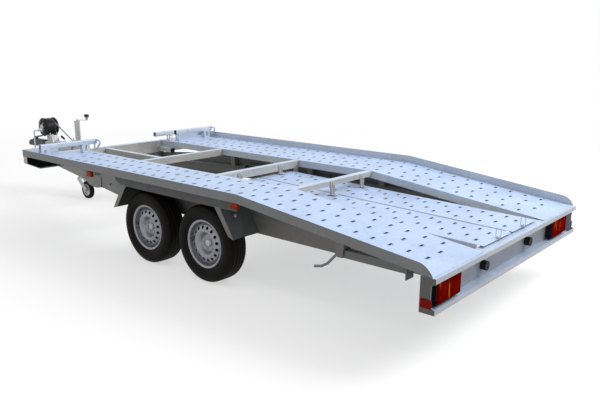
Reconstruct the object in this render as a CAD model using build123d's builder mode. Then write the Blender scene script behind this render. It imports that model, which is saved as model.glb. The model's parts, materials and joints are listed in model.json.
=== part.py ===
# Car carrier trailer: two perforated runways on a braked twin axle, V drawbar, winch and
# jockey wheel. Millimetres, +Z up, +Y towards the coupling, origin on the ground at the
# middle of the overall length and width.
import os
from math import asin, atan2, cos, degrees, sin, sqrt

from build123d import *

os.makedirs("parts", exist_ok=True)

# Overall sizes
OVERALL_LENGTH = 6250.0
OVERALL_WIDTH = 2150.0
DECK_END = 4305.0
REAR_Y = -OVERALL_LENGTH / 2
NOSE_Y = OVERALL_LENGTH / 2
HALF_W = OVERALL_WIDTH / 2


def back(distance):
    """Lengthwise place of something that lies this far ahead of the rearmost face."""
    return REAR_Y + distance


def from_nose(distance):
    """Lengthwise place of something that lies this far behind the tip of the coupling."""
    return NOSE_Y - distance


# Runways
DECK_TOP = 695.0
DECK_REAR_TOP = 528.0
DECK_SHEET = 3.0
DECK_FRONT_Y = back(DECK_END)
BEND_Y = back(1465.0)
DECK_REAR_Y = back(22.0)
RUNWAY_INNER_X = 480.0
FLANGE_RISE = 58.0
FLANGE_SHEET = 4.0
FOLD_DEPTH = 60.0
FLANGE_END_RUN = 75.0
SLOPE = (DECK_TOP - DECK_REAR_TOP) / (BEND_Y - DECK_REAR_Y)

# Slots of the runways: columns by distance from the centreline, two staggered sets
SLOT_X = 38.0
SLOT_Y = 16.0
SLOT_PITCH = 123.0
FIRST_ROW_Y = back(178.0)
SLOT_FREE_FRONT = 400.0
SLOT_ROWS = 1 + int((DECK_FRONT_Y - SLOT_FREE_FRONT - FIRST_ROW_Y) / SLOT_PITCH)
EVEN_COLUMNS = (705.0, 848.0)
ODD_COLUMNS = (560.0, 990.0)

# Frame
BEAM_SHEET = 4.0
MAIN_OUTER_X = HALF_W - 345.0
MAIN_WIDTH = 60.0
MAIN_BOTTOM = 390.0
MAIN_DEPTH = 140.0
LEG_DEPTH = 110.0
LEG_BEND_Y = back(3150.0)
LEG_NOSE_Y = from_nose(515.0)
LEG_NOSE_X = 136.0
CROSS_WIDTH = 60.0
CROSS_DEPTH = 62.0
CROSS_END_X = HALF_W - 90.0
CROSS_TOP = DECK_TOP - DECK_SHEET
SECOND_Y = back(3300.0)
MIDDLE_Y = back(2293.0)
BEND_BEAM_Y = back(1496.0)
BEND_BEAM_DEPTH = 40.0
FRONT_DEPTH = 128.0
FRONT_WIDTH = 60.0
REAR_BEAM_TOP = DECK_REAR_TOP - DECK_SHEET
REAR_BEAM_HEIGHT = 202.0
REAR_BEAM_DEPTH = 92.0
REAR_LIP = 30.0

# Wheels and axles
WHEELBASE = 680.0
AXLE_MID_Y = back(2285.0)
TYRE_R = 289.0
TYRE_HALF = 92.5
WHEEL_X = HALF_W - 207.0
STUB_PAST_WHEEL = 4.0
RIM_R = 182.0
RIM_HALF = 76.0
VENT_COUNT = 16
VENT_R = 9.0
VENT_RING = 127.0
DRUM_R = 108.0
STUB_R = 20.0
BEARING_FIT = 0.05
AXLE_TUBE = 70.0
AXLE_AHEAD = 110.0
WHEELS = (("front_left", -1, 1), ("front_right", 1, 1), ("rear_left", -1, -1), ("rear_right", 1, -1))
SIDES = (("left", -1), ("right", 1))

# Mudguards
GUARD_OUTER_X = HALF_W - 82.0
GUARD_INNER_X = MAIN_OUTER_X + 10.0
GUARD_SHEET = 3.0
GUARD_TOP = CROSS_TOP - CROSS_DEPTH

# Loading ramps
RAMP_WIDTH = 400.0
RAMP_GAP = 20.0
RAMP_REAR_Y = back(98.0)
RAMP_FRONT_Y = back(2290.0)
RAMP_REAR_TOP = 541.0
RAMP_FRONT_TOP = 602.0
RAMP_SIDE = 45.0
RAMP_SHEET = 3.0
RAMP_PITCH = 148.0
RAMP_ROWS = 14

# Jockey wheel
JOCKEY_Y = from_nose(1095.0)
JOCKEY_TRAIL = 130.0
JOCKEY_WHEEL_R = 100.0
JOCKEY_WHEEL_W = 50.0
OUTER_TUBE_R = 30.0
INNER_TUBE_R = 24.0
TUBE_FIT = 0.10
PIN_R = 8.0
PIN_FIT = 0.05

# Winch
WINCH_Y = from_nose(465.0)
WINCH_Z = 762.0
WINCH_R = 108.0
WINCH_HALF = 88.0

# Rear prop stands
PROP_Y = back(700.0)
PROP_Z = 488.0
PROP_X = MAIN_OUTER_X + 200.0
PROP_HALF = 25.0
PROP_LENGTH = 455.0
PROP_HEIGHT = 48.0


def deck_z(y):
    """Height of the runway's upper face at a lengthwise place."""
    return DECK_TOP if y >= BEND_Y else DECK_TOP - SLOPE * (BEND_Y - y)


def strip(top_shift, bottom_shift, y_front=DECK_FRONT_Y, y_rear=DECK_REAR_Y):
    """Outline of a band that follows the bent deck line, in the side view."""
    return [
        (y_rear, deck_z(y_rear) + bottom_shift),
        (BEND_Y, DECK_TOP + bottom_shift),
        (y_front, DECK_TOP + bottom_shift),
        (y_front, DECK_TOP + top_shift),
        (BEND_Y, DECK_TOP + top_shift),
        (y_rear, deck_z(y_rear) + top_shift),
    ]


# Perforated runways: bent plate, outer flange up, inner fold down
for side, sx in SIDES:
    near_x = min(sx * RUNWAY_INNER_X, sx * HALF_W)
    with BuildPart() as runway:
        with BuildSketch(Plane.YZ.offset(near_x)):
            Polygon(*strip(0, -DECK_SHEET), align=None)
        extrude(amount=HALF_W - RUNWAY_INNER_X)
        flange_x = sx * HALF_W if sx < 0 else HALF_W - FLANGE_SHEET
        with BuildSketch(Plane.YZ.offset(flange_x)):
            with BuildLine():
                top_rear = (DECK_REAR_Y + FLANGE_END_RUN,
                            deck_z(DECK_REAR_Y + FLANGE_END_RUN) + FLANGE_RISE)
                Polyline(
                    (DECK_REAR_Y, DECK_REAR_TOP - DECK_SHEET),
                    (BEND_Y, DECK_TOP - DECK_SHEET),
                    (DECK_FRONT_Y, DECK_TOP - DECK_SHEET),
                    (DECK_FRONT_Y, DECK_TOP + FLANGE_RISE),
                    (BEND_Y, DECK_TOP + FLANGE_RISE),
                    top_rear,
                )
                ThreePointArc(
                    top_rear,
                    (DECK_REAR_Y + 26, DECK_REAR_TOP + 40),
                    (DECK_REAR_Y, DECK_REAR_TOP + 4),
                )
                Line((DECK_REAR_Y, DECK_REAR_TOP + 4), (DECK_REAR_Y, DECK_REAR_TOP - DECK_SHEET))
            make_face()
        extrude(amount=FLANGE_SHEET)
        fold_x = sx * RUNWAY_INNER_X if sx > 0 else -RUNWAY_INNER_X - DECK_SHEET
        with BuildSketch(Plane.YZ.offset(fold_x)):
            Polygon(*strip(0, -FOLD_DEPTH, y_rear=back(REAR_BEAM_DEPTH)), align=None)
        extrude(amount=DECK_SHEET)
        # notches where the crossbeams pass through the inner fold
        with BuildSketch(Plane.YZ.offset(fold_x)):
            for y, depth in ((SECOND_Y, CROSS_DEPTH), (MIDDLE_Y, CROSS_DEPTH),
                             (BEND_BEAM_Y, BEND_BEAM_DEPTH)):
                with Locations((y, CROSS_TOP - depth / 2)):
                    Rectangle(CROSS_WIDTH, depth)
            with Locations((DECK_FRONT_Y - FRONT_WIDTH / 2, CROSS_TOP - FOLD_DEPTH / 2)):
                Rectangle(FRONT_WIDTH, FOLD_DEPTH)
        extrude(amount=DECK_SHEET, mode=Mode.SUBTRACT)
        # staggered anti-slip slots
        with BuildSketch(Plane.XY.offset(DECK_REAR_TOP - 10)):
            for row in range(SLOT_ROWS):
                y = FIRST_ROW_Y + row * SLOT_PITCH
                with Locations(*[(sx * x, y) for x in EVEN_COLUMNS]):
                    Rectangle(SLOT_X, SLOT_Y)
                with Locations(*[(sx * x, y + SLOT_PITCH / 2) for x in ODD_COLUMNS]):
                    Rectangle(SLOT_X, SLOT_Y)
        extrude(amount=DECK_TOP - DECK_REAR_TOP + 20, mode=Mode.SUBTRACT)
    runway.part.label = f"runway_{side}"
    export_step(runway.part, f"parts/runway_{side}.step")

# Crossbeams: channels open downwards; the middle one has the hanger for the ramps' ends
RAMP_SLOPE = (RAMP_FRONT_TOP - RAMP_REAR_TOP) / (RAMP_FRONT_Y - RAMP_REAR_Y)
HANG_Y = MIDDLE_Y - 15
HANG_X = RUNWAY_INNER_X - 8
HANG_LEDGE = RAMP_FRONT_TOP - RAMP_SIDE - RAMP_SLOPE * (RAMP_FRONT_Y - HANG_Y)
CROSSBEAMS = (
    ("middle_crossbeam", MIDDLE_Y, CROSS_DEPTH),
    ("bend_crossbeam", BEND_BEAM_Y, BEND_BEAM_DEPTH),
)
for name, y, depth in CROSSBEAMS:
    with BuildPart() as beam:
        with BuildSketch(Plane.YZ.offset(-CROSS_END_X)):
            with Locations((y, CROSS_TOP - depth / 2)):
                Rectangle(CROSS_WIDTH, depth)
            with Locations((y, CROSS_TOP - depth / 2 - BEAM_SHEET)):
                Rectangle(CROSS_WIDTH - 2 * BEAM_SHEET, depth, mode=Mode.SUBTRACT)
        extrude(amount=2 * CROSS_END_X)
        if name == "middle_crossbeam":
            with BuildSketch(Plane.YZ.offset(-HANG_X)):
                Polygon(
                    (HANG_Y - 15, HANG_LEDGE - RAMP_SLOPE * 15),
                    (HANG_Y + 15, HANG_LEDGE + RAMP_SLOPE * 15),
                    (HANG_Y + 15, HANG_LEDGE - 24),
                    (HANG_Y - 15, HANG_LEDGE - 24),
                    align=None,
                )
            extrude(amount=2 * HANG_X)
            for start in (-HANG_X, HANG_X - 30):
                with BuildSketch(Plane.YZ.offset(start)):
                    Polygon(
                        (HANG_Y - 15, HANG_LEDGE - 24), (HANG_Y + 15, HANG_LEDGE - 24),
                        (HANG_Y + 15, CROSS_TOP - depth + 12), (HANG_Y - 15, CROSS_TOP - depth + 12),
                        align=None,
                    )
                extrude(amount=30)
    beam.part.label = name
    export_step(beam.part, f"parts/{name}.step")

# Second crossbeam with the long tube that runs ahead of it to the front crossbeam
TUBE_X = -210.0
TUBE_SIZE = 50.0
with BuildPart() as second:
    with BuildSketch(Plane.YZ.offset(-CROSS_END_X)):
        with Locations((SECOND_Y, CROSS_TOP - CROSS_DEPTH / 2)):
            Rectangle(CROSS_WIDTH, CROSS_DEPTH)
        with Locations((SECOND_Y, CROSS_TOP - CROSS_DEPTH / 2 - BEAM_SHEET)):
            Rectangle(CROSS_WIDTH - 2 * BEAM_SHEET, CROSS_DEPTH, mode=Mode.SUBTRACT)
    extrude(amount=2 * CROSS_END_X)
    with BuildSketch(Plane.XZ.offset(-(SECOND_Y + CROSS_WIDTH / 2))):
        with Locations((TUBE_X, CROSS_TOP - 12 - TUBE_SIZE / 2)):
            Rectangle(TUBE_SIZE, TUBE_SIZE)
    extrude(amount=-(DECK_FRONT_Y - FRONT_WIDTH - SECOND_Y - CROSS_WIDTH / 2))
second.part.label = "second_crossbeam"
export_step(second.part, "parts/second_crossbeam.step")

# Front crossbeam: deep channel with raked ends
with BuildPart() as front_beam:
    with BuildSketch(Plane.XZ.offset(-DECK_FRONT_Y)):
        Polygon(
            (-HALF_W + FLANGE_SHEET, CROSS_TOP),
            (-HALF_W + FLANGE_SHEET, CROSS_TOP - 66),
            (-HALF_W + 130, CROSS_TOP - FRONT_DEPTH),
            (HALF_W - 130, CROSS_TOP - FRONT_DEPTH),
            (HALF_W - FLANGE_SHEET, CROSS_TOP - 66),
            (HALF_W - FLANGE_SHEET, CROSS_TOP),
            align=None,
        )
    extrude(amount=FRONT_WIDTH)
    with BuildSketch(Plane.YZ.offset(-HALF_W)):
        with Locations((DECK_FRONT_Y - FRONT_WIDTH / 2, CROSS_TOP - FRONT_DEPTH / 2 - BEAM_SHEET)):
            Rectangle(FRONT_WIDTH - 2 * BEAM_SHEET, FRONT_DEPTH)
    extrude(amount=2 * HALF_W, mode=Mode.SUBTRACT)
front_beam.part.label = "front_crossbeam"
export_step(front_beam.part, "parts/front_crossbeam.step")

# Rear beam: lipped channel open to the rear, closed by end plates with a lamp notch
REAR_BOTTOM = REAR_BEAM_TOP - REAR_BEAM_HEIGHT
with BuildPart() as rear_beam:
    with BuildSketch(Plane.YZ.offset(-HALF_W)):
        Polygon(
            (REAR_Y, REAR_BEAM_TOP),
            (back(REAR_BEAM_DEPTH), REAR_BEAM_TOP),
            (back(REAR_BEAM_DEPTH), REAR_BOTTOM),
            (REAR_Y, REAR_BOTTOM),
            (REAR_Y, REAR_BOTTOM + REAR_LIP),
            (back(BEAM_SHEET), REAR_BOTTOM + REAR_LIP),
            (back(BEAM_SHEET), REAR_BOTTOM + BEAM_SHEET),
            (back(REAR_BEAM_DEPTH - BEAM_SHEET), REAR_BOTTOM + BEAM_SHEET),
            (back(REAR_BEAM_DEPTH - BEAM_SHEET), REAR_BEAM_TOP - BEAM_SHEET),
            (back(BEAM_SHEET), REAR_BEAM_TOP - BEAM_SHEET),
            (back(BEAM_SHEET), REAR_BEAM_TOP - REAR_LIP),
            (REAR_Y, REAR_BEAM_TOP - REAR_LIP),
            align=None,
        )
    extrude(amount=OVERALL_WIDTH)
    for start in (-HALF_W, HALF_W - BEAM_SHEET):
        with BuildSketch(Plane.YZ.offset(start)):
            Polygon(
                (REAR_Y, REAR_BEAM_TOP),
                (back(REAR_BEAM_DEPTH), REAR_BEAM_TOP),
                (back(REAR_BEAM_DEPTH), REAR_BOTTOM),
                (REAR_Y, REAR_BOTTOM),
                (REAR_Y, REAR_BOTTOM + REAR_LIP),
                (back(26), REAR_BOTTOM + REAR_LIP + 12),
                (back(26), REAR_BEAM_TOP - REAR_LIP - 16),
                (REAR_Y, REAR_BEAM_TOP - REAR_LIP),
                align=None,
            )
        extrude(amount=BEAM_SHEET)
    # ledge that the stowed ramps' rear ends lie on
    with BuildSketch(Plane.YZ.offset(-RAMP_GAP / 2 - RAMP_WIDTH)):
        Polygon(
            (back(REAR_BEAM_DEPTH - 2), RAMP_REAR_TOP - RAMP_SIDE),
            (back(REAR_BEAM_DEPTH + 34), RAMP_REAR_TOP - RAMP_SIDE),
            (back(REAR_BEAM_DEPTH + 34), RAMP_REAR_TOP - RAMP_SIDE - 5),
            (back(REAR_BEAM_DEPTH - 2), RAMP_REAR_TOP - RAMP_SIDE - 30),
            align=None,
        )
    extrude(amount=RAMP_GAP + 2 * RAMP_WIDTH)
rear_beam.part.label = "rear_beam"
export_step(rear_beam.part, "parts/rear_beam.step")

# Main beams: straight channel under the runway, then the drawbar leg, with risers
LEG_SLOPE = (MAIN_OUTER_X - LEG_NOSE_X) / (LEG_NOSE_Y - LEG_BEND_Y)
MAIN_REAR_Y = back(REAR_BEAM_DEPTH)
STRAIGHT_END = LEG_BEND_Y


def leg_x(y):
    """Distance of the drawbar leg's outer face from the centreline."""
    return MAIN_OUTER_X - LEG_SLOPE * (y - LEG_BEND_Y) if y > LEG_BEND_Y else MAIN_OUTER_X


for side, sx in SIDES:
    with BuildPart() as main:
        for z, height, inset in (
            (MAIN_BOTTOM, BEAM_SHEET, MAIN_WIDTH),
            (MAIN_BOTTOM + MAIN_DEPTH - BEAM_SHEET, BEAM_SHEET, MAIN_WIDTH),
            (MAIN_BOTTOM, MAIN_DEPTH, BEAM_SHEET),
        ):
            with BuildSketch(Plane.XY.offset(z)):
                Polygon(
                    (sx * MAIN_OUTER_X, MAIN_REAR_Y),
                    (sx * MAIN_OUTER_X, STRAIGHT_END),
                    (sx * (MAIN_OUTER_X - inset), STRAIGHT_END),
                    (sx * (MAIN_OUTER_X - inset), MAIN_REAR_Y),
                    align=None,
                )
            extrude(amount=height)
        for z, height, inset in (
            (MAIN_BOTTOM, BEAM_SHEET, MAIN_WIDTH),
            (MAIN_BOTTOM + LEG_DEPTH - BEAM_SHEET, BEAM_SHEET, MAIN_WIDTH),
            (MAIN_BOTTOM, LEG_DEPTH, BEAM_SHEET),
        ):
            with BuildSketch(Plane.XY.offset(z)):
                Polygon(
                    (sx * MAIN_OUTER_X, STRAIGHT_END),
                    (sx * LEG_NOSE_X, LEG_NOSE_Y),
                    (sx * (LEG_NOSE_X - inset), LEG_NOSE_Y),
                    (sx * (MAIN_OUTER_X - inset), STRAIGHT_END),
                    align=None,
                )
            extrude(amount=height)
        # stiffening plate that closes the end of the straight part
        with BuildSketch(Plane.XZ.offset(-STRAIGHT_END)):
            with Locations((sx * (MAIN_OUTER_X - MAIN_WIDTH / 2), MAIN_BOTTOM + MAIN_DEPTH / 2)):
                Rectangle(MAIN_WIDTH, MAIN_DEPTH)
        extrude(amount=BEAM_SHEET)
        # risers up to the crossbeams
        for y, low, high in (
            (DECK_FRONT_Y - FRONT_WIDTH / 2, MAIN_BOTTOM + LEG_DEPTH, CROSS_TOP - FRONT_DEPTH),
            (SECOND_Y, MAIN_BOTTOM + LEG_DEPTH, CROSS_TOP - CROSS_DEPTH),
            (MIDDLE_Y, MAIN_BOTTOM + MAIN_DEPTH, CROSS_TOP - CROSS_DEPTH),
            (BEND_BEAM_Y, MAIN_BOTTOM + MAIN_DEPTH, CROSS_TOP - BEND_BEAM_DEPTH),
        ):
            with BuildSketch(Plane.XY.offset(low - BEAM_SHEET)):
                with Locations((sx * (leg_x(y) - MAIN_WIDTH / 2), y)):
                    Rectangle(MAIN_WIDTH - 12, CROSS_WIDTH)
            extrude(amount=high - low + BEAM_SHEET)
        # outrigger and two cheeks that carry the rear prop stand
        with BuildSketch(Plane.YZ.offset(min(sx * MAIN_OUTER_X, sx * (PROP_X + PROP_HALF + 12)))):
            with Locations((PROP_Y, PROP_Z + 48)):
                Rectangle(60, 34)
        extrude(amount=PROP_X + PROP_HALF + 12 - MAIN_OUTER_X)
        with BuildSketch(Plane.YZ.offset(min(sx * MAIN_OUTER_X, sx * (MAIN_OUTER_X + 20)))):
            with Locations((PROP_Y, PROP_Z)):
                Rectangle(60, 110)
        extrude(amount=20)
        for cheek in (PROP_X - PROP_HALF - 12, PROP_X + PROP_HALF + 6):
            with BuildSketch(Plane.YZ.offset(min(sx * cheek, sx * (cheek + 6)))):
                Polygon(
                    (PROP_Y - 30, PROP_Z + 40),
                    (PROP_Y - 20, PROP_Z - 24),
                    (PROP_Y + 20, PROP_Z - 24),
                    (PROP_Y + 30, PROP_Z + 40),
                    align=None,
                )
            extrude(amount=6)
        with BuildSketch(Plane.YZ.offset(min(sx * (PROP_X - PROP_HALF - 12),
                                             sx * (PROP_X + PROP_HALF + 12)))):
            with Locations((PROP_Y, PROP_Z)):
                Circle(PIN_R)
        extrude(amount=2 * (PROP_HALF + 12))
    main.part.label = f"main_beam_{side}"
    export_step(main.part, f"parts/main_beam_{side}.step")

# Axles: tube under the main beams, trailing arms, brake backplates and stubs
for label, k in (("front", 1), ("rear", -1)):
    wheel_y = AXLE_MID_Y + k * WHEELBASE / 2
    tube_y = wheel_y + AXLE_AHEAD
    tube_z = MAIN_BOTTOM - AXLE_TUBE / 2
    with BuildPart() as axle:
        with BuildSketch(Plane.YZ.offset(-MAIN_OUTER_X)):
            with Locations((tube_y, tube_z)):
                Rectangle(AXLE_TUBE, AXLE_TUBE)
                Rectangle(AXLE_TUBE - 10, AXLE_TUBE - 10, mode=Mode.SUBTRACT)
        extrude(amount=2 * MAIN_OUTER_X)
        for sx in (-1, 1):
            with BuildSketch(Plane.YZ.offset(min(sx * MAIN_OUTER_X, sx * (MAIN_OUTER_X + 18)))):
                Polygon(
                    (tube_y + 34, tube_z + 30),
                    (tube_y + 34, tube_z - 34),
                    (wheel_y, TYRE_R - 32),
                    (wheel_y - 32, TYRE_R - 16),
                    (wheel_y - 32, TYRE_R + 18),
                    (wheel_y, TYRE_R + 34),
                    align=None,
                )
            extrude(amount=18)
            with BuildSketch(Plane.YZ.offset(min(sx * (MAIN_OUTER_X + 18), sx * (MAIN_OUTER_X + 24)))):
                with Locations((wheel_y, TYRE_R)):
                    Circle(DRUM_R + 6)
            extrude(amount=6)
            with BuildSketch(Plane.YZ.offset(min(sx * MAIN_OUTER_X, sx * (WHEEL_X + STUB_PAST_WHEEL)))):
                with Locations((wheel_y, TYRE_R)):
                    Circle(STUB_R)
            extrude(amount=WHEEL_X + STUB_PAST_WHEEL - MAIN_OUTER_X)
    axle.part.label = f"axle_{label}"
    export_step(axle.part, f"parts/axle_{label}.step")

# Wheels: profiles as (distance outwards from the wheel's middle plane, radius)
TYRE_PROFILE = (
    (-67.4, 167.3), (-70.6, 183), (-79, 189), (-88, 205), (-TYRE_HALF, 235), (-89, 262),
    (-78, 280), (-60, 288), (-30, TYRE_R), (30, TYRE_R), (60, 288), (78, 280),
    (89, 262), (TYRE_HALF, 235), (88, 205), (79, 189), (70.6, 183), (67.4, 167.3),
    (56, 167.3), (74, 205), (79, 235), (74, 260), (55, 274), (0, 277),
    (-55, 274), (-74, 260), (-79, 235), (-74, 205), (-56, 167.3),
)
RIM_PROFILE = (
    (-RIM_HALF, 178), (-73, 163), (-44, 161), (-30, 146), (12, 146), (30, 138), (44, 108),
    (47, 98), (44, 88), (30, 72), (22, 62), (22, 33), (-2, 33), (-2, 62), (-20, 62),
    (-20, DRUM_R), (-102, DRUM_R), (-102, DRUM_R - 8), (-28, DRUM_R - 8), (-28, 50), (-40, 36),
    (-70, 36), (-70, STUB_R + BEARING_FIT), (14, STUB_R + BEARING_FIT), (14, 0), (40, 0), (40, 26),
    (36, 29), (27, 29), (27, 62), (34, 69), (48, 86), (52, 98), (49, 110), (35, 142), (25, 150),
    (36, 161), (73, 163), (RIM_HALF, 178), (RIM_HALF, RIM_R), (71, RIM_R), (68, 167), (40, 165),
    (24, 153.5), (-26, 153.5), (-42, 165), (-68, 167), (-71, RIM_R), (-RIM_HALF, RIM_R),
)
for name, sx, k in WHEELS:
    wheel_y = AXLE_MID_Y + k * WHEELBASE / 2
    centre = Plane(origin=(sx * WHEEL_X, wheel_y, TYRE_R), x_dir=(sx, 0, 0), z_dir=(0, -sx, 0))
    with BuildPart() as tyre:
        with BuildSketch(centre):
            Polygon(*TYRE_PROFILE, align=None)
        revolve(axis=Axis((sx * WHEEL_X, wheel_y, TYRE_R), (1, 0, 0)))
    tyre.part.label = f"tyre_{name}"
    export_step(tyre.part, f"parts/tyre_{name}.step")
    with BuildPart() as rim:
        with BuildSketch(centre):
            Polygon(*RIM_PROFILE, align=None)
        revolve(axis=Axis((sx * WHEEL_X, wheel_y, TYRE_R), (1, 0, 0)))
        with BuildSketch(Plane.YZ.offset(sx * WHEEL_X)):
            with Locations((wheel_y, TYRE_R)):
                with PolarLocations(VENT_RING, VENT_COUNT):
                    Circle(VENT_R)
        extrude(amount=sx * 60, mode=Mode.SUBTRACT)
    rim.part.label = f"rim_{name}"
    export_step(rim.part, f"parts/rim_{name}.step")

# Mudguards: folded top with sloping end flaps and an outer skirt with lips
GUARD_HALF_TOP = 560.0
GUARD_HALF_LOW = 705.0
GUARD_LOW_Z = 403.0
GUARD_SHOULDER = 604.0
for side, sx in SIDES:
    inner = min(sx * GUARD_OUTER_X, sx * GUARD_INNER_X)
    top = GUARD_TOP
    outline = [
        (-GUARD_HALF_LOW, GUARD_LOW_Z), (-GUARD_HALF_TOP - 12, GUARD_SHOULDER + 6),
        (-GUARD_HALF_TOP, top), (GUARD_HALF_TOP, top), (GUARD_HALF_TOP + 12, GUARD_SHOULDER + 6),
        (GUARD_HALF_LOW, GUARD_LOW_Z), (GUARD_HALF_LOW - 3.2, GUARD_LOW_Z),
        (GUARD_HALF_TOP + 9, GUARD_SHOULDER + 5), (GUARD_HALF_TOP - 3, top - GUARD_SHEET),
        (-GUARD_HALF_TOP + 3, top - GUARD_SHEET), (-GUARD_HALF_TOP - 9, GUARD_SHOULDER + 5),
        (-GUARD_HALF_LOW + 3.2, GUARD_LOW_Z),
    ]
    with BuildPart() as guard:
        with BuildSketch(Plane.YZ.offset(inner)):
            Polygon(*[(AXLE_MID_Y + y, z) for y, z in outline], align=None)
        extrude(amount=GUARD_OUTER_X - GUARD_INNER_X)
        skirt_x = min(sx * GUARD_OUTER_X, sx * (GUARD_OUTER_X - GUARD_SHEET))
        with BuildSketch(Plane.YZ.offset(skirt_x)):
            Polygon(
                (AXLE_MID_Y + 690, CROSS_TOP),
                (AXLE_MID_Y - 775, CROSS_TOP),
                (AXLE_MID_Y - 745, GUARD_SHOULDER + 4),
                (AXLE_MID_Y - 560, GUARD_SHOULDER),
                (AXLE_MID_Y + 570, GUARD_SHOULDER),
                (AXLE_MID_Y + 655, GUARD_SHOULDER + 30),
                align=None,
            )
            for k in (-1, 1):
                Polygon(
                    (AXLE_MID_Y + k * (GUARD_HALF_LOW + 2), GUARD_LOW_Z),
                    (AXLE_MID_Y + k * (GUARD_HALF_LOW - 36), GUARD_LOW_Z + 12),
                    (AXLE_MID_Y + k * (GUARD_HALF_TOP - 22), GUARD_SHOULDER + 8),
                    (AXLE_MID_Y + k * (GUARD_HALF_TOP + 16), GUARD_SHOULDER + 8),
                    align=None,
                )
        extrude(amount=GUARD_SHEET)
    guard.part.label = f"mudguard_{side}"
    export_step(guard.part, f"parts/mudguard_{side}.step")

# Loading ramps stowed between the runways
for side, sx in SIDES:
    ramp_x = min(sx * RAMP_GAP / 2, sx * (RAMP_GAP / 2 + RAMP_WIDTH))
    with BuildPart() as ramp:
        with BuildSketch(Plane.YZ.offset(ramp_x)):
            Polygon(
                (RAMP_REAR_Y, RAMP_REAR_TOP), (RAMP_FRONT_Y, RAMP_FRONT_TOP),
                (RAMP_FRONT_Y, RAMP_FRONT_TOP - RAMP_SIDE), (RAMP_REAR_Y, RAMP_REAR_TOP - RAMP_SIDE),
                align=None,
            )
        extrude(amount=RAMP_WIDTH)
        with BuildSketch(Plane.YZ.offset(ramp_x + RAMP_SHEET)):
            Polygon(
                (RAMP_REAR_Y - 1, RAMP_REAR_TOP - RAMP_SHEET),
                (RAMP_FRONT_Y + 1, RAMP_FRONT_TOP - RAMP_SHEET),
                (RAMP_FRONT_Y + 1, RAMP_FRONT_TOP - RAMP_SIDE - 1),
                (RAMP_REAR_Y - 1, RAMP_REAR_TOP - RAMP_SIDE - 1),
                align=None,
            )
        extrude(amount=RAMP_WIDTH - 2 * RAMP_SHEET, mode=Mode.SUBTRACT)
        with BuildSketch(Plane.XY.offset(RAMP_REAR_TOP - 12)):
            for row in range(RAMP_ROWS):
                y = RAMP_REAR_Y + 58 + row * RAMP_PITCH
                with Locations((ramp_x + 62, y), (ramp_x + 250, y)):
                    Rectangle(SLOT_X, SLOT_Y)
                with Locations((ramp_x + 132, y + RAMP_PITCH / 2), (ramp_x + 318, y + RAMP_PITCH / 2)):
                    Rectangle(SLOT_X, SLOT_Y)
        extrude(amount=90, mode=Mode.SUBTRACT)
    ramp.part.label = f"ramp_{side}"
    export_step(ramp.part, f"parts/ramp_{side}.step")

# Tail lamps, side markers, rubber buffers
LAMP_X = HALF_W - 170.0
FRONT_MARKER_X = HALF_W - 35.0
for side, sx in SIDES:
    with BuildPart() as lamp:
        with BuildSketch(Plane.XZ.offset(-back(3))):
            with Locations((sx * LAMP_X, REAR_BOTTOM + 101)):
                RectangleRounded(280, 134, 12)
        extrude(amount=-(REAR_BEAM_DEPTH - BEAM_SHEET - 3))
    lamp.part.label = f"tail_lamp_{side}"
    export_step(lamp.part, f"parts/tail_lamp_{side}.step")
    with BuildPart() as buffer:
        with BuildSketch(Plane.XZ.offset(-back(50))):
            with Locations((sx * 340, REAR_BOTTOM + 77)):
                Circle(30)
        extrude(amount=-(REAR_BEAM_DEPTH - BEAM_SHEET - 50))
    buffer.part.label = f"rubber_buffer_{side}"
    export_step(buffer.part, f"parts/rubber_buffer_{side}.step")
    for place, y, z in (("front", AXLE_MID_Y + 935, 660.0), ("rear", AXLE_MID_Y - 735, 652.0)):
        with BuildPart() as marker:
            face = GUARD_OUTER_X if place == "rear" else FRONT_MARKER_X
            with BuildSketch(Plane.YZ.offset(sx * face)):
                with Locations((y, z)):
                    Rectangle(62, 44)
            extrude(amount=sx * 26)
            if place == "front":
                with BuildSketch(Plane.XY.offset(z + 22)):
                    with Locations((sx * (face - 20), y)):
                        Rectangle(40, 50)
                extrude(amount=CROSS_TOP - z - 22)
                with BuildSketch(Plane.YZ.offset(sx * face)):
                    with Locations((y, z + 5)):
                        Rectangle(50, 54)
                extrude(amount=-sx * 6)
        marker.part.label = f"side_marker_{place}_{side}"
        export_step(marker.part, f"parts/side_marker_{place}_{side}.step")

# Wheel stops: square bar on a slotted foot and a loop bracket
STOP_Y = DECK_FRONT_Y - 220.0
STOP_Z = DECK_TOP + 92
STOPS = (
    ("left", -HALF_W + 75.0, -472.0, -HALF_W + 41.0, -486.0),
    ("right", 262.0, HALF_W - 29.0, 520.0, HALF_W - 35.0),
)
for side, x0, x1, foot_x, loop_x in STOPS:
    with BuildPart() as stop:
        with BuildSketch(Plane.YZ.offset(x0)):
            with Locations((STOP_Y, STOP_Z)):
                Rectangle(40, 34)
        extrude(amount=x1 - x0)
        with BuildSketch(Plane.YZ.offset(foot_x - 4)):
            with Locations((STOP_Y - 4, (DECK_TOP + STOP_Z - 17) / 2)):
                Rectangle(64, STOP_Z - 17 - DECK_TOP)
            with Locations((STOP_Y - 4, (DECK_TOP + STOP_Z - 17) / 2)):
                Rectangle(16, 44, mode=Mode.SUBTRACT)
        extrude(amount=8 if side == "right" else 60)
        with BuildSketch(Plane.YZ.offset(loop_x)):
            with Locations((STOP_Y - 20, (DECK_TOP + STOP_Z + 17) / 2)):
                Rectangle(84, STOP_Z + 17 - DECK_TOP)
                Rectangle(48, STOP_Z - 31 - DECK_TOP, mode=Mode.SUBTRACT)
        extrude(amount=10)
    stop.part.label = f"wheel_stop_{side}"
    export_step(stop.part, f"parts/wheel_stop_{side}.step")

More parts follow.
